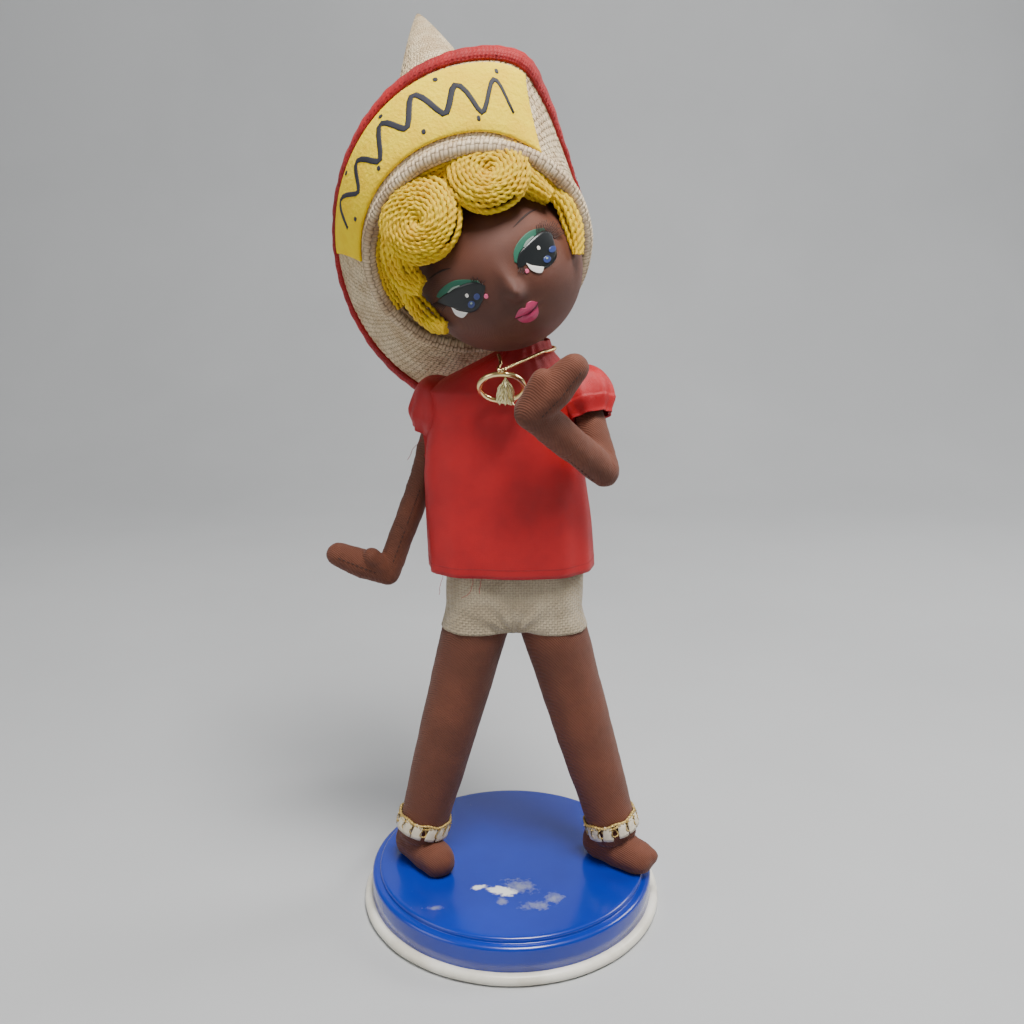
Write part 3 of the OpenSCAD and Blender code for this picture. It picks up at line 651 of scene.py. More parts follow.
def leg(side):
    deck, hip = legs[side]
    low = lerp(deck, hip, (ANKLE_Z - 2.5 - DECK) / (HIP_Z - DECK))
    top = lerp(deck, hip, 1.06)

    def radii(t):
        return lerp(ANKLE_R, HIP_R + 0.4, t) + 0.35 * math.sin(math.pi * t) - 0.5 * (1 - ramp(0, 0.04, t))
    obj = outward(grid(side + "_leg_skin", tube(low, top, radii, 90, 96), caps=True))
    swell(obj, 0.5)
    rough_up(obj, 0.25, 12, 3.0)
    rough_up(obj, 0.12, 3.5, 8.0)
    dress(obj, skin, "stand", [side + "_leg"])
    return obj


def foot(side):
    deck, hip = legs[side]
    way = foot_turn[side]
    across = at(way[1], -way[0], 0)
    ankle = lerp(deck, hip, (ANKLE_Z - DECK) / (HIP_Z - DECK))
    heel = at(ankle[0], ankle[1], DECK + 5.9) - 5.5 * way
    toe = heel + 16.4 * way - at(0, 0, 1.0)
    lobes = [[(heel, 7.2), (lerp(heel, toe, 0.6), 7.0)], [(lerp(heel, toe, 0.45), 7.1), (toe, 6.3)],
             [(heel, 6.4), (ankle + at(0, 0, 0.5), 7.6), (lerp(heel, toe, 0.5), 6.0)]]
    if side == "left":
        lobes.append([(toe, 4.6), (toe + 3.4 * way - 2.6 * across + at(0, 0, 0.6), 3.4)])
    obj = stuffed(side + "_foot_skin", lobes, 0.7, 14)
    points = coords(obj)
    points[:, 2] = np.maximum(points[:, 2], DECK + 0.05)
    points[:, 2] = np.minimum(points[:, 2], ANKLE_Z + 4.5)
    set_coords(obj, points)
    rough_up(obj, 0.3, 4, 5.0)
    points = coords(obj)
    points[:, 2] = np.maximum(points[:, 2], DECK + 0.02)
    set_coords(obj, points)
    dress(obj, skin, "stand", [side + "_foot"])
    return obj


for side in ("right", "left"):
    leg_made, foot_made = leg(side), foot(side)
    print(side, "leg", len(leg_made.data.polygons), "faces, foot", len(foot_made.data.polygons))

# %% [markdown]
# ## Things that repeat
# Two small Geometry Nodes trees make what repeats. One sweeps a lobed, twisted section along a
# path, for wool, cord and thread. The other sets a turned copy of a piece at each of a list of
# points, for stitches and the anklets' tabs. Each ends in Realize Instances and Set Material, and
# its result is taken as a plain mesh.


# %% Geometry Nodes: building and running a tree
def nodes_tree(name, inputs):
    tree = bpy.data.node_groups.new(name, "GeometryNodeTree")
    tree.interface.new_socket("Geometry", in_out="INPUT", socket_type="NodeSocketGeometry")
    for label, kind in inputs:
        tree.interface.new_socket(label, in_out="INPUT", socket_type=kind)
    tree.interface.new_socket("Geometry", in_out="OUTPUT", socket_type="NodeSocketGeometry")
    return Tree(tree), tree.nodes.new("NodeGroupInput").outputs, tree.nodes.new("NodeGroupOutput")


def end_tree(t, geometry, material, sink):
    real = t.node("GeometryNodeRealizeInstances", {"Geometry": geometry})
    painted = t.node("GeometryNodeSetMaterial", {"Geometry": real.outputs[0], "Material": material})
    t.tree.links.new(painted.outputs[0], sink.inputs[0])


def run_tree(obj, tree, values):
    """Runs a tree on the object with its inputs set by their identifiers, and keeps the mesh."""
    modifier = obj.modifiers.new("nodes", "NODES")
    modifier.node_group = tree
    names = {item.name: item.identifier for item in tree.interface.items_tree if item.in_out == "INPUT"}
    for label, value in values.items():
        modifier[names[label]] = value
    obj.data.update()
    return settle(obj)


def line_object(name, paths):
    """Loose edges through each path's points, as the start of a swept piece."""
    points, edges = [], []
    for path in paths:
        first = len(points)
        points += [tuple(np.asarray(p) * MM) for p in path]
        edges += [(first + i, first + i + 1) for i in range(len(path) - 1)]
    mesh = bpy.data.meshes.new(name)
    mesh.from_pydata(points, edges, [])
    obj = bpy.data.objects.new(name, mesh)
    bpy.context.scene.collection.objects.link(obj)
    return obj


# %% Tree 1: a twisted strand along a path
t, put, sink = nodes_tree("twisted_strand", [("Radius", "NodeSocketFloat"), ("Plies", "NodeSocketInt"),
                                             ("Groove", "NodeSocketFloat"),
                                             ("Turns per m", "NodeSocketFloat"),
                                             ("Material", "NodeSocketMaterial")])
curve = t.node("GeometryNodeMeshToCurve", {0: put["Geometry"]})
spot = t.node("GeometryNodeSplineParameter")
tilt = t.math("MULTIPLY", spot.outputs["Length"], t.math("MULTIPLY", put["Turns per m"], 2 * math.pi))
tilted = t.node("GeometryNodeSetCurveTilt", {"Curve": curve.outputs[0], "Tilt": tilt})
count = t.math("MULTIPLY", put["Plies"], 4)
ring = t.node("GeometryNodeCurvePrimitiveCircle", {"Resolution": count, "Radius": put["Radius"]})
index = t.node("GeometryNodeInputIndex").outputs[0]
swing = t.math("COSINE", t.math("MULTIPLY", index, math.pi / 2))
size = t.math("MULTIPLY_ADD", swing, put["Groove"], 1.0)
where = t.node("GeometryNodeInputPosition").outputs[0]
scaled = t.node("ShaderNodeVectorMath", {0: where, "Scale": size}, operation="SCALE")
lobed = t.node("GeometryNodeSetPosition", {"Geometry": ring.outputs[0], "Position": scaled.outputs[0]})
swept = t.node("GeometryNodeCurveToMesh", {"Curve": tilted.outputs[0], "Profile Curve": lobed.outputs[0],
                                           "Fill Caps": True})
end_tree(t, swept.outputs[0], put["Material"], sink)
strand_tree = t.tree


def strand(name, paths, radius, material, plies=3, groove=0.2, turns=120.0):
    obj = line_object(name, paths)
    return run_tree(obj, strand_tree, {"Radius": radius * MM, "Plies": plies, "Groove": groove,
                                       "Turns per m": turns, "Material": material})


# %% Tree 2: a turned copy of a piece at every point
t, put, sink = nodes_tree("copies_on_path", [("Piece", "NodeSocketObject"),
                                             ("Material", "NodeSocketMaterial")])
turned = t.node("GeometryNodeInputNamedAttribute", {"Name": "turn"}, data_type="FLOAT_VECTOR")
piece = t.node("GeometryNodeObjectInfo", {"Object": put["Piece"]})
copies = t.node("GeometryNodeInstanceOnPoints", {"Points": put["Geometry"],
                                                 "Instance": piece.outputs["Geometry"],
                                                 "Rotation": turned.outputs[0]})
end_tree(t, copies.outputs[0], put["Material"], sink)
copies_tree = t.tree


def copies_at(name, places, piece, material):
    """places is a list of (point, along, up): the piece's X goes along and its Z up."""
    obj = new_object(name, [p for p, _, _ in places], [])
    turns = []
    for _, along, up in places:
        x = Vector(unit(along))
        y = Vector(unit(up)).cross(x).normalized()
        z = x.cross(y)
        turns += list(Matrix((x, y, z)).transposed().to_euler())
    layer = obj.data.attributes.new("turn", "FLOAT_VECTOR", "POINT")
    layer.data.foreach_set("vector", turns)
    made = run_tree(obj, copies_tree, {"Piece": piece, "Material": material})
    bpy.data.objects.remove(piece)
    return made


def stitch(length, thickness):
    """A short thread, thickest in the middle, lying along X."""
    rows = []
    for t in np.linspace(0, 1, 6):
        r = thickness / 2 * math.sqrt(max(0.08, 1 - (2 * t - 1) ** 2))
        rows.append([((t - 0.5) * length, r * math.cos(a), r * math.sin(a) * 0.8)
                     for a in np.linspace(0, 2 * math.pi, 6, endpoint=False)])
    return outward(grid("stitch", rows, caps=True))


print("trees:", strand_tree.name, copies_tree.name)

# %% [markdown]
# ## Anklets
# A band of braid goes round each ankle: two rounds of twisted gold cord carry a row of small ivory
# tape tabs, cut square at the foot, with a loop of gold thread between each pair.


# %% Anklets
def tab():
    rows = []
    for k, (z, out, half) in enumerate([(0.9, 0.1, 0.9), (0.5, 0.65, 1.5), (-1.5, 0.95, 1.75),
                                        (-3.6, 1.25, 1.95),
                                        (-4.7, 1.35, 1.9)]):
        rows.append([(x * half, out - 0.25 * x * x, z) for x in np.linspace(-1, 1, 7)])
    return thicken(grid("tab", rows, wrap_cols=False), 0.35)


def loop_path(p, out, along, down):
    return [p + 0.55 * out * k + 1.15 * along * math.sin(2 * math.pi * k)
            + down * 3.4 * math.sin(math.pi * k)
            for k in np.linspace(0, 1, 12)]


def anklet(side):
    deck, hip = legs[side]
    up = unit(hip - deck)
    middle = lerp(deck, hip, (ANKLE_Z + 5.5 - DECK) / (HIP_Z - DECK))
    e1 = unit(np.cross(up, (0, 1, 0)))
    e2 = np.cross(up, e1)
    radius = ANKLE_R + 0.75
    random.seed(11 if side == "right" else 12)
    tabs, loops, count = [], [], 13
    for i in range(count):
        a = 2 * math.pi * (i + 0.25 * random.uniform(-1, 1)) / count
        out, along = math.cos(a) * e1 + math.sin(a) * e2, -math.sin(a) * e1 + math.cos(a) * e2
        lean = random.uniform(-0.22, 0.22)
        tabs.append((middle + radius * out, -along + lean * up, up + 0.1 * out))
        b = a + math.pi / count
        out, along = math.cos(b) * e1 + math.sin(b) * e2, -math.sin(b) * e1 + math.cos(b) * e2
        loops.append(loop_path(middle + (radius + 0.3) * out, out, along, -up))
    made = copies_at(side + "_anklet_tabs", tabs, tab(), ivory)
    dress(made, ivory, "stand", [side + "_anklet"])
    dress(strand(side + "_anklet_loops", loops, 0.32, gold_thread, 2, 0.2, 500), gold_thread, "stand", ())
    bands = []
    for k in (0, 1):
        rounds = np.linspace(0, 2 * math.pi, 90)
        bands.append([middle + up * (0.7 * k + 0.35 * math.sin(7 * a + 2 * k))
                      + (radius + 0.3) * (math.cos(a) * e1 + math.sin(a) * e2) for a in rounds])
    dress(strand(side + "_anklet_band", bands, 0.5, gold_thread, 3, 0.25, 260), gold_thread, "stand", ())


anklet("right")
anklet("left")

# %% [markdown]
# ## Arms
# Each arm is one stuffed tube from the shoulder to a mitten hand, bent where its wire is bent.
# It is made whole and then cut at the middle of the forearm into an upper part and a lower part.
# The skin creases inside each bend.


# %% One arm
def crease(obj, bend_at, a, b, depth=0.35, pitch=1.5, reach=8.0):
    """Folds the skin finely on the inside of a bend."""
    inside = unit(unit(a - bend_at) + unit(b - bend_at))
    across = unit(unit(a - bend_at) - unit(b - bend_at))
    points = coords(obj)
    away = points - bend_at
    near = np.clip(1 - np.linalg.norm(away, axis=1) / reach, 0, 1)
    facing = np.clip(away @ inside / 5.0 + 0.35, 0, 1)
    wave = np.sin(2 * math.pi * (away @ across) / pitch)
    set_coords(obj, points + normals(obj) * (depth * wave * near * facing)[:, None])


def arm(side, points, thumb, radii):
    shoulder, elbow, wrist, tip = (points[k] for k in ("shoulder", "elbow", "wrist", "tip"))
    palm = lerp(wrist, tip, 0.5)
    lobes = [[(shoulder, radii[0]), (elbow, radii[1])],
             [(elbow, radii[1]), (lerp(elbow, wrist, 0.4), radii[2]), (wrist, radii[3])],
             [(wrist, radii[3]), (palm, radii[4]), (tip, radii[5])], thumb(wrist, tip)]
    whole = stuffed(side + "_arm", lobes, 0.6, 9)
    crease(whole, elbow, shoulder, wrist)
    crease(whole, wrist, elbow, tip)
    rough_up(whole, 0.3, 6, 2.0)
    rough_up(whole, 0.12, 2.0, 4.0)
    middle, along = lerp(elbow, wrist, 0.5), wrist - elbow
    near = cut(copy_of(whole, side + "_arm_upper"), middle, along)
    far = cut(copy_of(whole, side + "_arm_lower"), middle, -along)
    bpy.data.objects.remove(whole)
    for obj, made_of in ((near, [side + "_upper_arm", side + "_forearm"]), (far, [side + "_hand"])):
        dress(obj, skin, None, made_of)
    return near, far


def hanging_thumb(wrist, tip):
    along = unit(tip - wrist)
    up = unit(at(0.3, -0.25, 1) - along * np.dot(at(0.3, -0.25, 1), along))
    front = at(0, -1, 0)
    return [(lerp(wrist, tip, 0.12) + 1.5 * up + 1.5 * front, 3.2),
            (lerp(wrist, tip, 0.42) + 5.2 * up + 2.4 * front, 3.2)]


def raised_thumb(wrist, tip):
    return [(lerp(wrist, tip, 0.0) + at(-0.6, -1.5, 1.0), 4.6),
            (lerp(wrist, tip, 0.5) + at(-3.4, -2.0, 3.6), 3.4)]


def bend_pieces(side, near, far, points):
    """Bakes the upper and the lower piece's placement into their meshes."""
    shoulder, elbow, wrist, tip = (points[k] for k in ("shoulder", "elbow", "wrist", "tip"))
    for obj, a, p, b, bodies in ((near, shoulder, elbow, wrist, ("_upper_arm", "_forearm")),
                                 (far, elbow, wrist, tip, ("_forearm", "_hand"))):
        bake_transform(obj)


arms = {}
for side, points, thumb, radii in (("right", right_arm, hanging_thumb, (4.6, 4.5, 4.3, 4.4, 5.2, 4.4)),
                                   ("left", left_arm, raised_thumb, (4.9, 5.4, 5.5, 5.9, 6.1, 4.6))):
    near, far = arm(side, points, thumb, radii)
    arms[side] = (near, far)
    print(side, "arm", len(near.data.polygons), "+", len(far.data.polygons), "faces")


# %% [markdown]
# A dark seam runs along each forearm and along the front of each hand. Short stitches are set on
# a line that is dropped onto the skin: a ray from outside finds the surface at each place.

# %% Seams on the arms
def surface_of(obj):
    """The object's faces, ready for rays."""
    return BVHTree.FromPolygons([v.co for v in obj.data.vertices], [p.vertices for p in obj.data.polygons])


def on_skin(obj, guide, middle):
    """Points of guide moved onto the skin, with the way out at each; middle is the line inside."""
    tree = surface_of(obj)
    found = []
    for p, m in zip(guide, middle):
        start = Vector(p * MM)
        hit, normal, _, _ = tree.ray_cast(start, (Vector(m * MM) - start).normalized())
        if hit:
            found.append((np.array(hit) / MM, np.array(normal)))
    return found


def seam(name, obj, p, q, side_way, body, gap=1.5, bow=0.0):
    steps = max(3, int(np.linalg.norm(q - p) / gap))
    middle = [lerp(p, q, t) + bow * math.sin(math.pi * t) * side_way for t in np.linspace(0, 1, steps)]
    found = on_skin(obj, [m + 20 * side_way for m in middle], middle)
    places = [(a + 0.05 * n, b - a, n) for (a, n), (b, _) in zip(found, found[1:])]
    made = copies_at(name, places, stitch(gap * 0.8, 0.4), thread_brown)
    return dress(made, thread_brown, body, ())


right_fore = (lerp(right_arm["elbow"], right_arm["wrist"], 0.1),
              lerp(right_arm["elbow"], right_arm["wrist"], 0.47))
seam("right_upper_seam", arms["right"][0], *right_fore, unit((0.1, -1, 0)), "right_forearm")
right_low = (lerp(right_arm["elbow"], right_arm["wrist"], 0.53),
             lerp(right_arm["elbow"], right_arm["wrist"], 0.88))
seam("right_lower_seam", arms["right"][1], *right_low, unit((0.1, -1, 0)), "right_forearm")
seam("right_hand_seam", arms["right"][1], lerp(right_arm["wrist"], right_arm["tip"], 0.2), right_arm["tip"],
     unit((-0.1, -1, 0.1)), "right_hand")
left_low = (lerp(left_arm["elbow"], left_arm["wrist"], 0.08),
            lerp(left_arm["elbow"], left_arm["wrist"], 0.47))
seam("left_upper_seam", arms["left"][0], *left_low, unit((-0.45, -0.75, -0.75)), "left_forearm")
seam("left_hand_seam", arms["left"][1], lerp(left_arm["wrist"], left_arm["tip"], 0.1),
     lerp(left_arm["wrist"], left_arm["tip"], 1.1), unit((0.35, -1, -0.35)), "left_hand", 1.4, 0.6)
bend_pieces("right", *arms["right"], right_arm)
bend_pieces("left", *arms["left"], left_arm)

# %% [markdown]
# ## Hips, torso and shorts
# Under the clothes the body is calico stuffed with wadding. The shorts are linen: two short
# legs joined at the hips, gathered at the crotch. They are one skin round the hips and the tops
# of the legs, left open at the waist and hems and then given the cloth's thickness.

# %% Stuffing inside the clothes
hips = stuffed("hip_stuffing", [[(at(-9, 0, 119), 10.4), (at(11, 0, 119), 10.4), (at(-6, 0, 128), 9.0),
                                 (at(8, 0, 128), 9.0)]], 1.2)
dress(hips, calico, "stand", ["hip_pad"])
torso = stuffed("torso_stuffing", [[(at(-9, 0, 153), 9.3), (at(9, 0, 153), 9.3), (at(-6, 0, 184), 9.0),
                                    (at(8, 0, 184), 9.0)]], 1.2)
dress(torso, calico, "torso", ["torso_pad"])


# %% Shorts
def shorts():
    hem, top = 108.2, 137.0
    lobes = [[(at(-10.5, 0, 117), 12.6), (at(12.5, 0, 117), 12.6), (at(-10.5, 0, 129), 12.4),
              (at(12.5, 0, 129), 12.4),
              (at(-6, 0, 140), 10.5), (at(8, 0, 140), 10.5)]]
    for deck, hip in legs.values():
        way = unit(hip - deck)
        lobes.append([(hip + 8 * way, 12.4), (hip - 10 * way, 11.9)])
    obj = stuffed("shorts_cloth", lobes, 0.7, 6)
    points = coords(obj)
    spread = np.abs(points[:, 0] - 1)
    gather = np.exp(-((spread / 9) ** 2)) * np.exp(-(((points[:, 2] - 113) / 8) ** 2))
    angle = np.arctan2(points[:, 0] - 1, points[:, 2] - 108)
    waist_folds = np.sin(points[:, 0] / 2.1 + 1.5 * np.sin(points[:, 2] / 9)) * ramp(120, 132, points[:, 2])
    folds = 0.55 * np.sin(11 * angle) * gather + 0.35 * waist_folds
    set_coords(obj, points + normals(obj) * folds[:, None])
    rough_up(obj, 0.5, 9, 6.0)
    cut(obj, at(0, 0, hem), at(0, 0, -1), close=False)
    cut(obj, at(0, 0, top), at(0, 0, 1), close=False)
    # the weave runs round the hips, so the map is unrolled about the upright axis
    layer = obj.data.uv_layers.new(name="cloth")
    co = coords(obj)
    loops = np.zeros(len(obj.data.loops), np.int32)
    obj.data.loops.foreach_get("vertex_index", loops)
    layer.data.foreach_set("uv", np.stack([co[loops, 0] + 0.2 * co[loops, 1], co[loops, 2]],
                                          1).astype(np.float32).ravel())
    thicken(obj, 0.6)
    return dress(obj, linen, "stand", ["shorts"])


shorts_cloth = shorts()
print("shorts", [round(d / MM, 1) for d in shorts_cloth.dimensions], "mm")


# %% [markdown]
# ## Blouse
# The blouse is two straight panels of satin that hang from the shoulders, so its sides stand
# nearly upright and its hem is a soft rectangle. The neck is drawn in under the gold cord, which
# makes small gathers, and each sleeve is a separate puff set over the shoulder. The body is
# lofted from a few outlines, and the hanging arm presses its side in.

# %% Blouse body
HALF_W, FRONT, BACK = 29.0, 16.1, 14.0
blouse_rows = np.array([
    [130.0, HALF_W, HALF_W - 0.6, FRONT, BACK], [147, HALF_W + 0.6, HALF_W - 1.8, FRONT - 0.4, BACK],
    [163, HALF_W + 0.8, HALF_W - 4, FRONT - 1, BACK - 0.4],
    [175, HALF_W - 0.5, HALF_W - 7, FRONT - 1.6, BACK - 0.8],
    [187, HALF_W - 1.0, HALF_W - 7.0, FRONT - 2.2, BACK - 1.6], [192, HALF_W - 0.5, 22.8, 13.4, 11.6],
    [196.5, 20.5, 20.5, 12.0, 10.4], [201, 11.5, 16.8, 10.6, 9.4], [204.5, 4.6, 13.8, 9.0, 8.4],
    [208.4, 2.6, 12.6, 8.2, 8.0]])


def blouse():
    count, cols = 150, 240
    heights = np.interp(np.linspace(0, 1, count) ** 0.9, np.linspace(0, 1, len(blouse_rows)),
                        blouse_rows[:, 0])
    rows = []
    for z in heights:
        left, right, front, back = (np.interp(z, blouse_rows[:, 0], blouse_rows[:, k]) for k in (1, 2, 3, 4))
        ring = []
        for a in np.linspace(0, 2 * math.pi, cols, endpoint=False):
            c, s = math.cos(a), math.sin(a)
            x = (left if c < 0 else right) * math.copysign(abs(c) ** 0.8, c)
            tuck = 1 + 0.4 * c if s > 0 and c < 0 else 1
            y = (front if s < 0 else back * tuck) * math.copysign(abs(s) ** 0.85, s)
            low, high = 1 - ramp(132, 172, z), ramp(190, 205, z)
            fold = 0.5 * low * math.sin(5 * a + 1.0) + 0.35 * low * math.sin(11 * a)
            gathers = 0.28 * high * math.sin(26 * a) * (0.6 + 0.4 * math.sin(3 * a))
            fold += gathers * (1 - ramp(208, 209.5, z))
            out = at(c, s * 0.8, 0)
            ring.append(at(x, y, z) + fold * out)
        rows.append(ring)
    rows = np.array(rows)
    smooth = rows.copy()
    for _ in range(5):
        smooth[1:-1] = (smooth[:-2] + 2 * smooth[1:-1] + smooth[2:]) / 4
    smooth = (smooth + np.roll(smooth, 1, 1) + np.roll(smooth, -1, 1)) / 3
    # make room for the hanging arm
    p, q = right_arm["shoulder"], right_arm["elbow"] + 2 * unit(right_arm["elbow"] - right_arm["shoulder"])
    share = np.clip(((smooth - p) @ (q - p)) / np.dot(q - p, q - p), 0, 1)
    away = smooth - (p + share[..., None] * (q - p))
    far = np.linalg.norm(away, axis=2, keepdims=True)
    smooth = smooth + away / far * np.maximum(0, 6.0 - far)
    obj = outward(grid("blouse_body", smooth, size=(180, 82)))
    thicken(obj, 0.5)
    return dress(obj, satin, "torso", ["blouse"])


blouse_body = blouse()


# %% Sleeves
def sleeve(side, points, square):
    """A puffed sleeve; square is the power of its outline, 2 for a ball and more for a boxier cap."""
    shoulder, elbow = points["shoulder"], points["elbow"]
    down = unit(elbow - shoulder)
    away = at(-1 if side == "right" else 1, -0.15, 0)
    outside = unit(away - down * np.dot(away, down))
    front = np.cross(down, outside)
    rows = []
    for t in np.linspace(0, 1, 56):
        # from the crown of the sleeve over the puff to the drawn-in cuff, and a turning inside
        h = lerp(-9.95, 8.6, min(1, t / 0.9))
        r = lerp(9.8, 7.4, ramp(3.2, 8.6, h))
        if h < 3.2:
            r = 10.0 * (1 - abs(h / 10.0) ** square) ** (1 / square)
        if t > 0.9:
            r, h = r - 9 * (t - 0.9), h - 6 * (t - 0.9)
        ring = []
        for a in np.linspace(0, 2 * math.pi, 120, endpoint=False):
            fold = 0.45 * ramp(-6, 6, h) * math.sin(9 * a + 0.6 * math.sin(2 * a))
            fold += 0.2 * math.sin(4 * a + h / 3)
            way = math.cos(a) * outside + math.sin(a) * front
            ring.append(shoulder + h * down + max(0.2, r + fold * min(1, r / 6)) * way)
        rows.append(ring)
    obj = grid(side + "_sleeve_puff", rows, size=(60, 24))
    fill_hole(obj, shoulder - 9.95 * down, 3)
    outward(obj)
    thicken(obj, 0.45)
    dress(obj, satin, side + "_upper_arm", [side + "_sleeve"])


sleeve("right", right_arm, 3.2)
sleeve("left", left_arm, 2.2)


# %% Stitches round the hem, and the loose threads
HEM_STITCH_Z = 133.2


def hem_stitches():
    tree = surface_of(blouse_body)
    found = []
    for a in np.linspace(0, 2 * math.pi, 150, endpoint=False):
        start = Vector((60 * math.cos(a), 60 * math.sin(a), HEM_STITCH_Z)) * MM
        hit, normal, _, _ = tree.ray_cast(start, (Vector((0, 0, HEM_STITCH_Z * MM)) - start).normalized())
        found.append((np.array(hit) / MM, np.array(normal)))
    places = [(a, b - a, n) for (a, n), (b, _) in zip(found, found[1:] + found[:1])]
    dress(copies_at("hem_stitches", places, stitch(1.1, 0.28), thread_red), thread_red, "torso", ())


hem_stitches()


def loose_thread(start, drift, length, seed):
    random.seed(seed)
    points, way = [np.array(start, float)], unit(drift)
    for _ in range(int(length / 0.8)):
        way = unit(way + at(random.uniform(-0.35, 0.35), random.uniform(-0.1, 0.06),
                            random.uniform(-0.3, 0.3)))
        points.append(points[-1] + 0.8 * way)
    return points


threads = [loose_thread((-29.5, -6, 176), (-0.6, -0.2, -1), 9, 1),
           loose_thread((-23, -15.2, 131), (-0.5, -0.3, -1), 7, 2),
           loose_thread((-13, -16.2, 131), (0.3, -0.3, -1), 9, 3),
           loose_thread((-10, -16.2, 131), (0.1, -0.3, -1), 6, 4)]
dress(strand("loose_threads", threads, 0.09, thread_red, 2, 0.1, 300), thread_red, "torso", ())

# %% [markdown]
# ## Head
# The face is fine cloth pressed over a form: a ball with a small turned-up nose, pursed lips and
# round cheeks. It is described as a surface over two flat directions, right and up as one looks
# at the face, so that anything painted on it can be laid on the same surface with a slight lift.


# %% The head's own directions
X_HEAD = at(math.cos(HEAD_ROLL), 0, math.sin(HEAD_ROLL))
Z_HEAD = at(-math.sin(HEAD_ROLL), 0, math.cos(HEAD_ROLL))
Y_HEAD = at(0, 1, 0)


def on_head(p):
    """A place in the head's own frame (right, back, up) as a place in the whole frame."""
    p = np.asarray(p, float)
    return HEAD + p[..., 0:1] * X_HEAD + p[..., 1:2] * Y_HEAD + p[..., 2:3] * Z_HEAD


def hill(u, v, cu, cv, wide, tall, height):
    return height * np.exp(-((u - cu) / wide) ** 2 - ((v - cv) / tall) ** 2)


def relief_of_face(u, v):
    nose = hill(u, v, 1.0, -6.6, 2.5, 2.7, 4.3) + hill(u, v, 1.0, -3.0, 2.4, 4.0, 1.2)
    lips = hill(u, v, 0.8, -13.3, 3.4, 1.5, 1.0) + hill(u, v, 0.8, -15.7, 2.7, 1.3, 1.0)
    lips = lips - hill(u, v, 0.8, -14.4, 3.6, 0.5, 0.6)
    cheeks = hill(u, v, 12, -10, 6, 6, 0.6) + hill(u, v, -11, -10, 6, 6, 0.6)
    chin = hill(u, v, 0.5, -20.5, 5, 3, 0.6)
    sockets = -hill(u, v, 12, -1, 6, 5, 0.7) - hill(u, v, -12.5, -1, 6, 5, 0.7)
    return nose + lips + cheeks + chin + sockets


def face_at(u, v, lift=0.0):
    """A point on the face, u to the right and v up from the middle of the head."""
    u, v = np.asarray(u, float), np.asarray(v, float)
    r = HEAD_R + 0.15 + relief_of_face(u, v) + lift
    flat = np.sqrt(u * u + v * v)
    lean = np.arcsin(np.clip(flat / HEAD_R, 0, 0.9999))
    scale = np.where(flat > 1e-6, np.sin(lean) / np.maximum(flat, 1e-6), 1 / HEAD_R)
    return on_head(np.stack([r * u * scale, -r * np.cos(lean), r * v * scale], -1))


def face():
    rows = []
    turns = np.linspace(0, 2 * math.pi, 240, endpoint=False)
    for lean in np.radians(np.concatenate([[0.15], np.linspace(1, 92, 110), [97, 103]])):
        flat = HEAD_R * math.sin(min(lean, math.pi / 2))
        u, v = flat * np.cos(turns), flat * np.sin(turns)
        r = HEAD_R + 0.15 + (relief_of_face(u, v) if lean < 1.4 else 0 * u)
        rows.append(on_head(np.stack([r * math.sin(lean) * np.cos(turns), -r * math.cos(lean) + 0 * u,
                                      r * math.sin(lean) * np.sin(turns)], -1)))
    obj = grid("face_cloth", np.array(rows), size=(160, 46))
    fill_hole(obj, face_at(0, 0), 3)
    outward(obj)
    thicken(obj, 0.7)
    return dress(obj, face_skin, "head", ["face_mask"])


face_cloth = face()
head_fill = stuffed("head_stuffing", [[(HEAD + at(0, -1, 0), 23.2)]], 1.5, 4)
dress(head_fill, calico, "head", ["head_core"])
neck_top = lerp(NECK, HEAD, 0.3)
neck_skin = stuffed("neck_skin", [[(NECK + at(-0.5, 0, 0.6), 6.4), (neck_top, 6.6)]], 0.7, 6)
dress(neck_skin, skin, "head", ["neck"])
print("face", len(face_cloth.data.polygons), "faces")

# %% [markdown]
# The features are thin painted shapes. Each lies between two edge lines with the same number of
# points, which covers an almond, a crescent or a band, and is laid on the face with a small
# lift and its own thickness, so that no two layers share a surface.


# %% Painted shapes between two edges
def smooth_line(points, count):
    """A Catmull-Rom line through the points."""
    p = np.array(points, float)
    p = np.vstack([2 * p[0] - p[1], p, 2 * p[-1] - p[-2]])
    out = []
    for s in np.linspace(0, len(p) - 3, count):
        i = min(int(s), len(p) - 4)
        f = s - i
        a, b, c, d = p[i:i + 4]
        square, cube = 2 * a - 5 * b + 4 * c - d, 3 * b - a - 3 * c + d
        out.append(0.5 * ((2 * b) + (c - a) * f + square * f * f + cube * f ** 3))
    return np.array(out)


def painted(name, upper, lower, material, lift, slot="face_cloth", count=36, across=10):
    top, low = smooth_line(upper, count), smooth_line(lower, count)
    rows = []
    for k in np.linspace(0, 1, across):
        line = lerp(top, low, k)
        rows.append(face_at(line[:, 0], line[:, 1], lift))
    obj = grid(name, rows, wrap_cols=False)
    middle = np.mean(rows[across // 2], axis=0)
    if np.dot(np.array(obj.data.polygons[(across // 2) * (count - 1) + count // 2].normal),
              middle - HEAD) < 0:
        edit(obj, lambda bm: bmesh.ops.reverse_faces(bm, faces=bm.faces))
    thicken(obj, 0.1)
    return dress(obj, material, "head", ())


def dot(name, u, v, ru, rv, material, lift):
    top = [(u + ru * math.cos(a), v + rv * math.sin(a)) for a in np.linspace(math.pi, 0, 9)]
    low = [(u + ru * math.cos(a), v + rv * math.sin(a)) for a in np.linspace(math.pi, 2 * math.pi, 9)]
    return painted(name, top, low, material, lift, count=24, across=8)


